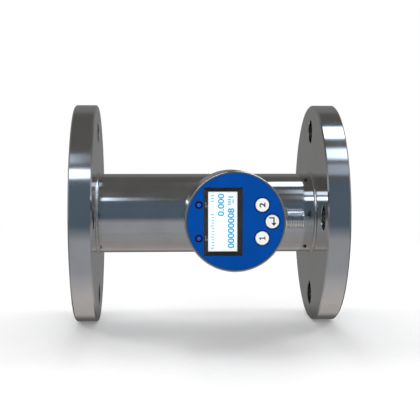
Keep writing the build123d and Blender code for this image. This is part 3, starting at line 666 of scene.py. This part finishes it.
def pale_floor():
    """Matt white studio floor: white to the camera where it is lit and grey only in the shadow.
    Metal mirrors the studio's own tones instead, darkened close under the meter by a painted shade."""
    material, tree, place = fresh_material("studio_paper_white")
    fibre = add(tree, "TexNoise", {"Vector": place, "Scale": every(3.0), "Detail": 2.0}).outputs["Fac"]
    paper = add(
        tree, "ValToRGB", {"Fac": fibre}, stops=[(0.3, (0.74,) * 3), (0.7, (0.76,) * 3)]
    ).outputs["Color"]
    matt = add(tree, "BsdfDiffuse", {"Color": paper}).outputs[0]
    glow = add(tree, "Emission", {"Strength": FLOOR_GLOW}).outputs[0]
    lifted = add(tree, "AddShader", {0: matt, 1: glow}).outputs[0]
    away = add(tree, "VectorMath", {0: place}, operation="LENGTH").outputs["Value"]
    fading = add(
        tree, "MapRange", {"Value": away, "From Min": FLOOR_FADE[0], "From Max": FLOOR_FADE[1]},
        interpolation_type="SMOOTHSTEP",
    ).outputs["Result"]
    white = add(tree, "Emission").outputs[0]
    faded = add(tree, "MixShader", {0: fading, 1: lifted, 2: white}).outputs[0]
    path = add(tree, "LightPath").outputs
    shown = add(tree, "MixShader", {0: path["Is Camera Ray"], 1: matt, 2: faded}).outputs[0]
    beside = add(
        tree, "Math", {0: add(tree, "SeparateXYZ", {0: place}).outputs["Y"]}, operation="ABSOLUTE"
    ).outputs[0]
    # Painted shade: what metal mirrors of the floor is darkened to half right under the pipe and fades
    # out beside it.
    under = add(
        tree, "MapRange", {"Value": beside, "From Max": PAINTED_SHADE_REACH, "To Min": 0.5},
        interpolation_type="SMOOTHSTEP",
    ).outputs["Result"]
    through = add(tree, "BsdfTransparent", {"Color": under}).outputs[0]
    either = add(tree, "MixShader", {0: path["Is Glossy Ray"], 1: shown, 2: through}).outputs[0]
    add(tree, "OutputMaterial", {"Surface": either})
    return material


def lamp(kind, place, settings):
    """A lamp at a place, turned towards the pipe's middle, that metal doesn't mirror."""
    bpy.ops.object.light_add(type=kind, location=place)
    light = bpy.context.object
    direction = [b - a for a, b in zip(place, LAMP_AIM)]
    tilt = math.atan2(math.hypot(direction[0], direction[1]), -direction[2])
    light.rotation_euler = (tilt, 0.0, math.atan2(direction[1], direction[0]) - math.pi / 2)
    for name, value in settings.items():
        setattr(light.data, name, value)
    light.visible_glossy = False


class METER_OT_stage(bpy.types.Operator):
    """Camera, floor, lamps and studio"""

    bl_idname = "meter.stage"
    bl_label = "Stage"

    def execute(self, context):
        nothing_selected()
        scene = context.scene
        scene.view_settings.view_transform = "Standard"
        bpy.ops.object.camera_add(
            location=CAMERA_PLACE,
            rotation=(math.radians(90 - CAMERA_DOWN), 0.0, math.radians(CAMERA_TURN)),
        )
        camera = context.object
        camera.data.sensor_width = CAMERA_SENSOR
        camera.data.lens = CAMERA_LENS
        camera.data.clip_start = 0.01
        camera.data.clip_end = 100.0
        scene.camera = camera
        bpy.ops.mesh.primitive_plane_add(size=FLOOR_SIZE, location=(0.0, 0.0, CAD_LOW.z))
        floor = context.object
        floor.name = "floor"
        bpy.ops.object.transform_apply(location=True)
        floor.data.materials.append(pale_floor())
        for kind, place, settings in LAMPS:
            lamp(kind, place, settings)
        studio_world()
        return {"FINISHED"}


# Finishes of the carried-over parts


class METER_OT_steel_finishes(bpy.types.Operator):
    """Finishes of flanges, pipe, head, boss, straighteners, rotor and springs"""

    bl_idname = "meter.steel_finishes"
    bl_label = "Steel finishes"

    def execute(self, context):
        tint = tuple(context.scene.meter_colours.steel)
        on_pipe = {"axis": PIPE_AXIS, "centre": PIPE_CENTRE}
        on_head = {"axis": HEAD_AXIS, "centre": HEAD_CENTRE}
        dress(
            # Real feed marks are 0.2 mm apart; drawn at 0.9 mm so that they show.
            turned_metal(
                "stainless_steel_faced_polished", tint, 0.1, feed=0.9, depth=0.0016, **on_pipe
            ),
            "inlet_flange", "outlet_flange",
        )
        dress(
            drawn_metal("stainless_tube_drawn_polished", tint, 0.08, (0.02, 1.0, 1.0), 1.1, 0.0018),
            "meter_tube",
        )
        FINISHES["weld_steel"] = weld_metal(tint)
        dress(
            FINISHES["weld_steel"],
            "inlet_face_weld", "outlet_face_weld", "boss_weld", "inlet_neck_weld", "outlet_neck_weld",
        )
        dress(
            turned_metal(
                "stainless_steel_turned_fine", tint, 0.1, feed=0.6, depth=0.0006, patina=16.0,
                **on_head,
            ),
            "sensor_boss", "head_can", "swivel_stop_screw", "swivel_washer",
        )
        dress(
            turned_metal(
                "stainless_steel_ring_polished", tint, 0.12, feed=0.5, depth=0.001, patina=12.0,
                **on_head,
            ),
            "bezel_ring",
        )
        dress(
            drawn_metal("stainless_sheet_rolled", tint, 0.3, (0.05, 1.0, 1.0), 0.6, 0.006),
            "inlet_straightener", "outlet_straightener",
        )
        dress(
            turned_metal("magnetic_stainless_milled", tint, 0.22, feed=0.7, depth=0.004, **on_pipe),
            "turbine_rotor",
        )
        dress(
            drawn_metal("spring_steel_stamped", linear("#8F8E8B"), 0.35, (1.0, 1.0, 1.0), 0.5, 0.004),
            "inlet_retaining_ring", "outlet_retaining_ring", "swivel_ring",
        )
        dress(
            turned_metal(
                "tungsten_carbide_ground", linear("#8B8A8C"), 0.16, feed=0.4, depth=0.001, **on_pipe
            ),
            "rotor_shaft", "inlet_thrust_washer", "outlet_thrust_washer", "rotor_bush",
        )
        dress(
            turned_metal("soft_iron_turned", linear("#A09C97"), 0.35, feed=0.4, depth=0.003, **on_head),
            "pickup_pole",
        )
        dress(
            drawn_metal("cast_magnet_ground", linear("#7C7B7A"), 0.42, (1.0, 0.2, 1.0), 0.5, 0.006),
            "pickup_magnet",
        )
        return {"FINISHED"}


class METER_OT_fitting_finishes(bpy.types.Operator):
    """Finishes of coil, boards, seals, leads and connector parts"""

    bl_idname = "meter.fitting_finishes"
    bl_label = "Fitting finishes"

    def execute(self, context):
        nickel = tuple(context.scene.meter_colours.nickel)
        dress(wound_wire(), "pickup_winding")
        dress(
            moulded("glass_filled_nylon_moulded", linear("#1B1C1E"), 0.45, 0.4, 0.01),
            "pickup_bobbin", "pickup_cap", "key_switches", "connector_insert",
        )
        dress(
            moulded("soft_vinyl_extruded", linear("#2B2C2E"), 0.5, 0.8, 0.01),
            "pickup_lead", "connector_lead",
        )
        dress(
            moulded("nitrile_rubber_moulded", linear("#161616"), 0.62, 0.35, 0.008, specular=0.35),
            "swivel_oring", "face_gasket", "connector_gasket",
        )
        dress(printed_board(), "display_board", "signal_board")
        FINISHES["nickel_brass"] = turned_metal(
            "brass_nickel_plated", nickel, 0.09, PIPE_AXIS, CONNECTOR_CENTRE, 0.5, 0.0006, patina=6.0
        )
        dress(FINISHES["nickel_brass"], "connector_shell", "connector_nut")
        dress(
            drawn_metal("brass_pillar_nickel_plated", nickel, 0.25, (1.0, 0.3, 1.0), 0.5, 0.003),
            "rear_pillars", "front_pillars", "board_screws",
        )
        dress(
            drawn_metal(
                "copper_alloy_gold_plated", linear("#E3B455"), 0.18, (0.3, 1.0, 1.0), 0.4, 0.002
            ),
            "connector_pins",
        )
        return {"FINISHED"}


class METER_OT_face_finishes(bpy.types.Operator):
    """Finishes of the blue face, display, lights and keys"""

    bl_idname = "meter.face_finishes"
    bl_label = "Face finishes"

    def execute(self, context):
        colours = context.scene.meter_colours
        dress(
            moulded(
                "polyester_film_back_printed", tuple(colours.face), 0.38, 0.5, 0.004,
                specular=0.03, variation=0.05,
            ),
            "face_plate",
        )
        dress(
            moulded("polyester_film_border_print", tuple(colours.frame), 0.4, 0.4, 0.004, specular=0.3),
            "window_frame",
        )
        dress(clear_acrylic(), "display_window")
        dress(lit_display(tuple(colours.glass)), "lcd_panel")
        dress(
            moulded("nylon_collar_moulded", linear("#1C110E"), 0.4, 0.3, 0.006, specular=0.1),
            "light_collar_lower", "light_collar_upper",
        )
        dress(
            moulded("tinted_acrylic_light_pipe", linear("#0B55C4"), 0.25, 0.6, 0.003, specular=0.15),
            "light_pipe_lower", "light_pipe_upper",
        )
        dress(
            moulded(
                "silicone_key_cap_moulded", tuple(colours.key), 0.42, 0.35, 0.005,
                specular=0.4, variation=0.05,
            ),
            *KEYS,
        )
        dress(
            moulded("acetal_plunger_moulded", linear("#D8D4C9"), 0.4, 0.4, 0.006),
            *(key + "_plunger" for key in KEYS),
        )
        return {"FINISHED"}


# Weld beads

PIPE_RADIUS = 30.15 * MM
SKIN_POINTS = 7  # across a bead's skin
RIPPLE_STEPS = 4  # round the pipe in one ripple
# The part of a ripple that is raised and the part that is sunk: where each starts and ends along
# the ripple, and the share of the ripple's height that it moves out
RIPPLE_PARTS = ((0.0, 0.3, 0.5), (0.45, 0.8, -0.5))
SKIN_STARTS = 0.05  # share towards the middle of the skin at which ripples start
BOW_LIMITS = (0.45, 0.8)  # shares from which a ripple is bowed


def neck_bead(name, sizes, corner, side, replaced, material):
    """A fillet bead round the pipe, built in the corner of flange and pipe, with frozen ripples.
    Side is 1 where the bead runs towards +X and -1 where it runs towards -X."""
    leg = sizes.leg
    toe = leg * 0.995  # how far the skin reaches on pipe and flange, just short of a leg
    profile = [(corner, PIPE_RADIUS)]
    for number in range(SKIN_POINTS + 1):
        share = number / SKIN_POINTS
        bulge = sizes.crown * math.sin(math.pi * share) * math.sqrt(0.5)
        along, out = leg * share + bulge, leg * (1 - share) + bulge
        profile.append((corner + side * min(along, toe), PIPE_RADIUS + min(out, toe)))
    ripples = round(2 * math.pi * PIPE_RADIUS / sizes.ripple_pitch)
    slice_angle = 2 * math.pi / ripples
    bead = turned_along_pipe(name, profile, (corner, 0.0, 0.0), ripples * RIPPLE_STEPS)

    def share_across(place):
        """How near a place is to the middle of the bead's skin, from 0 at its toes to 1."""
        out = math.hypot(place.y, place.z) - PIPE_RADIUS
        along = (place.x - corner) * side
        return max(0.0, min(along, out) / (leg * 0.5))

    def on_skin(place):
        """Whether a place is off the bead's two hidden sides."""
        return share_across(place) > SKIN_STARTS

    def ripple_place(place):
        """How far along its own ripple a place is, from 0 to 1. It is shifted a little, so that
        rounding never moves a ripple's first row to the end of the one before."""
        return (math.atan2(place.z, place.y) / slice_angle + 0.01) % 1.0

    bpy.ops.object.mode_set(mode="EDIT")
    for start, end, lift in RIPPLE_PARTS:
        select_where(bead, lambda place: on_skin(place) and start <= ripple_place(place) < end)
        bpy.ops.transform.shrink_fatten(value=sizes.ripple_height * lift)
    for limit in BOW_LIMITS:
        select_where(bead, lambda place: share_across(place) > limit)
        bpy.ops.transform.rotate(
            value=sizes.ripple_bow * 0.5 / PIPE_RADIUS, orient_axis="X",
            center_override=(corner, 0.0, 0.0),
        )
    select_where(bead, on_skin)
    bpy.ops.transform.vertex_random(offset=sizes.unevenness, uniform=0.6, normal=0.4, seed=7)
    bpy.ops.object.mode_set(mode="OBJECT")
    finished(bead, material, "meter_body", "weld_steel", replaced, smooth=60)


class METER_OT_neck_beads(bpy.types.Operator):
    """Rippled weld beads between flanges and pipe"""

    bl_idname = "meter.neck_beads"
    bl_label = "Weld beads"

    def execute(self, context):
        sizes = context.scene.meter_beads
        material = FINISHES["weld_steel"]
        inlet_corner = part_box("inlet_neck_weld")[0].x
        outlet_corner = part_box("outlet_neck_weld")[1].x
        neck_bead("inlet_bead", sizes, inlet_corner, 1, "inlet_neck_weld", material)
        neck_bead("outlet_bead", sizes, outlet_corner, -1, "outlet_neck_weld", material)
        return {"FINISHED"}


# Threaded connector, whose sizes here follow the solid that its shell stands for

TAIL_LENGTH = 8.2 * MM
TAIL_RADIUS = 6.0 * MM
HEXAGON_THICKNESS = 2.6 * MM
CHAMFER_LENGTH = 0.7 * MM  # of the cone that turns off the hexagon's corners, along X
CHAMFER_RISE = 1.2 * MM
TURNED_FLAT = 1.02  # radius of the hexagon's turned ends, in halves of its width across flats
EDGE = 0.3 * MM  # of the small chamfers
RUN_OUT = 0.6 * MM  # from the relief to the thread's root
BORE_RADIUS = 4.95 * MM
SOCKET_DEPTH = 9.0 * MM
MOUTH_DEPTH = 0.25 * MM
MOUTH_FLARE = 1.25 * MM
SUNK = 0.05 * MM  # how far the thread's ridge reaches into the shell
LIP_OVERLAP = 0.4 * MM  # how far the ridge reaches into the lip
FLANK = 0.26  # of the pitch that a flank takes
CREST = 0.24  # of the pitch that the flat crest takes
THREAD_STEPS = 48


def hexagon_collar(sizes, start, end, centre):
    """A hexagon between two X, its corners turned off at both ends."""
    nothing_selected()
    bpy.ops.mesh.primitive_cylinder_add(
        vertices=6, radius=sizes.hexagon / 2 / math.cos(math.pi / 6), depth=end - start,
        location=((start + end) / 2, centre[1], 0.0), rotation=(0.0, math.pi / 2, 0.0),
    )
    hexagon = bpy.context.object
    bpy.ops.object.transform_apply(location=True, rotation=True, scale=True)
    flat = sizes.hexagon / 2 * TURNED_FLAT
    tip = flat + CHAMFER_RISE
    blank = turned_along_pipe(
        "chamfer_blank",
        [
            (start - EDGE, 0.0), (start - EDGE, flat), (start, flat),
            (start + CHAMFER_LENGTH, tip), (end - CHAMFER_LENGTH, tip),
            (end, flat), (end + EDGE, flat), (end + EDGE, 0.0),
        ],
        centre,
    )
    boolean(hexagon, blank, "INTERSECT")
    return hexagon


def thread_ridge(sizes, start, end, root, centre):
    """The ridge of a thread between two X, on a root radius."""
    pitch = sizes.pitch
    ridge = single_point((0.0, 0.0, root - SUNK))
    flank, crest, rise = pitch * FLANK, pitch * CREST, sizes.depth + SUNK
    valley = pitch - 2 * flank - crest
    for along, out in ((flank, rise), (crest, 0.0), (flank, -rise), (valley, 0.0)):
        extrude_by((along, 0.0, out))
    bpy.ops.object.mode_set(mode="OBJECT")
    apply_modifier(
        ridge, "SCREW", axis="X", angle=2 * math.pi, screw_offset=pitch,
        iterations=math.ceil((end - start) / pitch) + 2, steps=THREAD_STEPS,
        render_steps=THREAD_STEPS, use_merge_vertices=True, merge_threshold=MERGED,
    )
    ridge.location = (start - pitch, centre[1], 0.0)
    bpy.ops.object.transform_apply(location=True, rotation=True, scale=True)
    bpy.ops.object.mode_set(mode="EDIT")
    for place, way in ((start, 1), (end + LIP_OVERLAP, -1)):
        bpy.ops.mesh.select_all(action="SELECT")
        bpy.ops.mesh.bisect(
            plane_co=(place, centre[1], 0.0), plane_no=(way, 0.0, 0.0),
            use_fill=True, clear_inner=True,
        )
    clean_and_close()
    return ridge


class METER_OT_connector(bpy.types.Operator):
    """Cable connector shell with its hexagon, relief, thread and socket"""

    bl_idname = "meter.connector"
    bl_label = "Connector"

    def execute(self, context):
        sizes = context.scene.meter_thread
        low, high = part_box("connector_shell")
        centre = (low.x, (low.y + high.y) / 2, 0.0)
        crest = sizes.diameter / 2
        root = crest - sizes.depth
        relief = sizes.relief / 2
        socket = sizes.socket / 2
        hexagon_start = low.x + TAIL_LENGTH
        hexagon_end = hexagon_start + HEXAGON_THICKNESS
        thread_start = hexagon_end + sizes.start
        thread_end = high.x - sizes.lip
        shell = turned_along_pipe(
            "connector_body",
            [
                (low.x, 0.0), (low.x, TAIL_RADIUS - EDGE), (low.x + EDGE, TAIL_RADIUS),
                (hexagon_start, TAIL_RADIUS), (hexagon_start, relief),
                (thread_start - RUN_OUT, relief), (thread_start, root), (thread_end, root),
                (thread_end, crest - 2 * EDGE), (thread_end + EDGE, crest - EDGE / 2),
                (thread_end + 2 * EDGE, crest), (high.x - 2 * EDGE, crest),
                (high.x - EDGE, crest - EDGE / 2), (high.x, crest - 2 * EDGE), (high.x, 0.0),
            ],
            centre,
        )
        boolean(shell, hexagon_collar(sizes, hexagon_start, hexagon_end, centre), "UNION")
        boolean(shell, thread_ridge(sizes, thread_start, thread_end, root, centre), "UNION")
        bore = turned_along_pipe(
            "bore_tool",
            [
                (low.x - MM, 0.0), (low.x - MM, BORE_RADIUS), (high.x - SOCKET_DEPTH, BORE_RADIUS),
                (high.x - SOCKET_DEPTH, socket), (high.x - MOUTH_DEPTH, socket),
                (high.x + MM, socket + MOUTH_FLARE), (high.x + MM, 0.0),
            ],
            centre,
        )
        boolean(shell, bore, "DIFFERENCE")
        finished(shell, FINISHES["nickel_brass"], "head", "nickel_brass", "connector_shell", smooth=30)
        return {"FINISHED"}


# Display figures and key marks, with places as (X, Z) in millimetres from the head's axis

KEYS = ("key_lower", "key_upper", "key_enter")
RATE_CORNER = (-12.0, 3.6)  # low X and low Z of the upper line of figures
TOTAL_CORNER = (-5.3, -18.3)  # the same for the lower line
SCALE_EDGE = -14.3  # X where the scale's bars end
SCALE_STEP = 1.9  # from bar to bar
SCALE_BAR = 0.8  # width of a bar
SHORT_BAR, LONG_BAR = 1.7, 2.5  # lengths of the scale's bars
# Groups of the scale's bars: Z of the first, how many there are, and every how many one is long
SCALE_GROUPS = ((-18.6, 13, 4), (13.4, 3, 1))
# Low X, low Z, high X and high Z of the bars that stand for a unit
UNIT_BARS = [
    *((-5.3, 11.4 + number * 1.5, -2.9, 12.2 + number * 1.5) for number in range(3)),
    (-4.8, 16.2, -1.2, 17.1), (-1.9, 12.4, -1.2, 15.2),
]
LIGHT_PLACES = (-11.4, 11.4)  # Z of the two status lights
FRAME_BARS = ((-20.6, -1.7), (-20.6, 0.3), (-19.6, -1.7))  # X, and Z from a light
FRAME_BAR = (0.6, 1.5)  # size of such a bar along X and Z
BAR_CUT = 0.25  # how much of a bar's width its corners lose
FIGURE_WIDTH = 0.76  # of a key's figure, as a share of its height
KEY_WEIGHT = 1.2  # weight of the strokes on a key against those on the display
# A figure one with its flag and foot
ONE = [
    (2.1, -1.1), (2.1, 1.2), (1.5, 1.2), (1.5, 0.45), (-2.1, 0.45), (-2.1, -0.15), (-1.4, -1.2),
    (-0.8, -0.85), (-1.1, -0.35), (1.5, -0.35), (1.5, -1.1),
]
# A stem that comes down, turns back along the line and ends in an arrowhead
ARROW = [
    (-2.1, 3.0), (-2.1, 2.1), (0.55, 2.1), (0.55, -0.9), (-0.75, -0.9), (1.0, -3.1), (2.75, -0.9),
    (1.45, -0.9), (1.45, 3.0),
]


def figures(name, words, box, front, thick, weight, material, body, slot_name):
    """Figures in a line that reads towards +Z with their tops towards -X, in a box of low X,
    low Z, high X and high Z, their front at Y = front. Weight thickens their strokes."""
    nothing_selected()
    bpy.ops.object.text_add(location=(0.0, 0.0, 0.0))
    text = bpy.context.object
    text.name = name
    text.data.body = words
    text.data.extrude = thick / 2
    text.data.offset = weight
    text.data.resolution_u = 4
    bpy.ops.object.convert(target="MESH")
    corners = [v.co for v in text.data.vertices]
    lows = [min(c[axis] for c in corners) for axis in range(3)]
    highs = [max(c[axis] for c in corners) for axis in range(3)]
    low_x, low_z, high_x, high_z = box
    wide = (high_z - low_z) / (highs[0] - lows[0])
    tall = (high_x - low_x) / (highs[1] - lows[1])
    bpy.ops.object.mode_set(mode="EDIT")
    bpy.ops.mesh.select_all(action="SELECT")
    bpy.ops.mesh.remove_doubles(threshold=thick / 10)
    bpy.ops.transform.translate(value=(-lows[0], -lows[1], -(lows[2] + highs[2]) / 2))
    bpy.ops.transform.resize(value=(wide, tall, 1.0), center_override=(0.0, 0.0, 0.0))
    bpy.ops.object.mode_set(mode="OBJECT")
    # Its width goes to +Z, its height to -X and its front to -Y.
    text.matrix_world = Matrix((
        (0.0, -1.0, 0.0, high_x), (0.0, 0.0, -1.0, front + thick / 2), (1.0, 0.0, 0.0, low_z),
        (0.0, 0.0, 0.0, 1.0),
    ))
    finished(text, material, body, slot_name)


def printed(name, outlines, front, thick, material, body, slot_name):
    """Flat printed shapes, each a closed outline of (X, Z) places, their front at Y = front."""
    piece = None
    for outline in outlines:
        places = [(x, front + thick, z) for x, z in outline]
        if piece is None:
            piece = single_point(places[0])
            piece.name = name
        else:
            bpy.ops.mesh.primitive_plane_add(size=MM, location=places[0])
            bpy.ops.mesh.merge(type="CENTER")
        extrude_round(places)
        bpy.ops.mesh.select_linked()
        bpy.ops.mesh.remove_doubles(threshold=MERGED)
        bpy.ops.mesh.edge_face_add()
        extrude_by((0.0, -thick, 0.0))
    clean_and_close()
    finished(piece, material, body, slot_name)


def on_face(x, z):
    """A place on the face in metres, from millimetres off the head's axis."""
    return (HEAD_CENTRE[0] + x * MM, z * MM)


def bar(low_x, low_z, high_x, high_z):
    """Outline of a bar on the face, its corners cut a little."""
    cut = min(high_x - low_x, high_z - low_z) * BAR_CUT
    corners = [
        (low_x + cut, low_z), (high_x - cut, low_z), (high_x, low_z + cut), (high_x, high_z - cut),
        (high_x - cut, high_z), (low_x + cut, high_z), (low_x, high_z - cut), (low_x, low_z + cut),
    ]
    return [on_face(x, z) for x, z in corners]


def middle(name):
    """X and Z of the middle of a CAD node."""
    low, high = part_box(name)
    return (low.x + high.x) / 2, (low.z + high.z) / 2


class METER_OT_display_figures(bpy.types.Operator):
    """Plain figures and small marks on the display"""

    bl_idname = "meter.display_figures"
    bl_label = "Display figures"

    def execute(self, context):
        sizes = context.scene.meter_display
        colours = context.scene.meter_colours
        ink, pale_ink = (
            moulded(name, tuple(tint), 0.45, 0.3, 0.002, specular=0.1, variation=0.05)
            for name, tint in (
                ("display_segments_cyan", colours.figures), ("display_marks_pale", colours.marks)
            )
        )
        frame_ink = moulded("frame_marks_print", linear("#8F9396"), 0.5, 0.3, 0.002, specular=0.1)
        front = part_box("lcd_panel")[0].y - sizes.ink
        for name, words, corner, tall, wide in (
            ("rate_figures", "0.000", RATE_CORNER, sizes.rate_height, sizes.rate_length),
            ("total_figures", "00000008", TOTAL_CORNER, sizes.total_height, sizes.total_length),
        ):
            x, z = on_face(*corner)
            figures(
                name, words, (x, z, x + tall, z + wide), front, sizes.ink, sizes.weight, ink,
                "head", "lcd",
            )
        scale_bars = []
        for first_z, count, long_every in SCALE_GROUPS:
            for number in range(count):
                low_z = first_z + number * SCALE_STEP
                reach = LONG_BAR if number % long_every == 0 else SHORT_BAR
                scale_bars.append(bar(SCALE_EDGE - reach, low_z, SCALE_EDGE, low_z + SCALE_BAR))
        printed("display_scale", scale_bars, front, sizes.ink, pale_ink, "head", "lcd")
        unit_bars = [bar(*corners) for corners in UNIT_BARS]
        printed("display_unit_marks", unit_bars, front, sizes.ink, ink, "head", "lcd")
        frame_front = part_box("window_frame")[0].y - sizes.ink
        frame_bars = [
            bar(x, light + z, x + FRAME_BAR[0], light + z + FRAME_BAR[1])
            for light in LIGHT_PLACES
            for x, z in FRAME_BARS
        ]
        printed("frame_marks", frame_bars, frame_front, sizes.ink, frame_ink, "head", "frame_dark")
        return {"FINISHED"}


class METER_OT_key_marks(bpy.types.Operator):
    """Printed marks on the three keys, a figure on two of them and a return arrow on the third, and
    round each key a dark ring of painted shade where shade falls in the gap round it"""

    bl_idname = "meter.key_marks"
    bl_label = "Key marks"

    def execute(self, context):
        sizes = context.scene.meter_display
        colours = context.scene.meter_colours
        ink = moulded("key_mark_print", tuple(colours.key_mark), 0.5, 0.25, 0.002, specular=0.3)
        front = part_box("key_lower")[0].y - sizes.ink
        x, z = middle("key_upper")
        half_tall = sizes.key_height / 2
        half_wide = half_tall * FIGURE_WIDTH
        figures(
            "key_upper_mark", "2", (x - half_tall, z - half_wide, x + half_tall, z + half_wide),
            front, sizes.ink, sizes.weight * KEY_WEIGHT, ink, "key_upper_body", "frame_dark",
        )
        for key, outline in (("key_lower", ONE), ("key_enter", ARROW)):
            x, z = middle(key)
            printed(
                key + "_mark", [[(x + along * MM, z + up * MM) for along, up in outline]],
                front, sizes.ink, ink, key + "_body", "frame_dark",
            )
        # A dark ring of painted shade round each key, where shade falls in the gap between key and
        # face.
        painted_key_shade = moulded(
            "film_dark_border", tuple(colours.border), 0.4, 0.4, 0.002,
            specular=0.05, variation=0.05,
        )
        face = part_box("face_plate")[0].y
        inner = sizes.border_start / 2
        outer = inner + sizes.border
        for key in KEYS:
            x, z = middle(key)
            border = turned(
                key + "_border",
                [
                    (x + inner, face, z), (x + inner, face - sizes.ink, z),
                    (x + outer, face - sizes.ink, z), (x + outer, face, z),
                ],
                (x, face, z), HEAD_AXIS, ROUND_STEPS,
            )
            finished(border, painted_key_shade, "head", "face_blue")
        return {"FINISHED"}


# Panel and registration

STEPS = [
    METER_OT_stage, METER_OT_steel_finishes, METER_OT_fitting_finishes, METER_OT_face_finishes,
    METER_OT_neck_beads, METER_OT_connector, METER_OT_display_figures, METER_OT_key_marks,
]
GROUPS = {
    "meter_beads": MeterBeadSizes,
    "meter_thread": MeterThreadSizes,
    "meter_display": MeterDisplaySizes,
    "meter_colours": MeterColours,
}


class METER_PT_panel(bpy.types.Panel):
    """Steps that build the flow meter's looks"""

    bl_idname = "METER_PT_panel"
    bl_label = "Flow Meter"
    bl_space_type = "VIEW_3D"
    bl_region_type = "UI"
    bl_category = "Flow Meter"

    def draw(self, context):
        for step in STEPS:
            self.layout.operator(step.bl_idname)
        for name, group in GROUPS.items():
            box = self.layout.box()
            for entry in group.__annotations__:
                box.prop(getattr(context.scene, name), entry)


def register():
    for made in (*GROUPS.values(), *STEPS, METER_PT_panel):
        bpy.utils.register_class(made)
    for name, group in GROUPS.items():
        setattr(bpy.types.Scene, name, PointerProperty(type=group))


def unregister():
    for name in GROUPS:
        delattr(bpy.types.Scene, name)
    for made in reversed((*GROUPS.values(), *STEPS, METER_PT_panel)):
        bpy.utils.unregister_class(made)


def main():
    register()
    for step in STEPS:
        family, name = step.bl_idname.split(".")
        getattr(getattr(bpy.ops, family), name)()


if __name__ == "__main__":
    main()
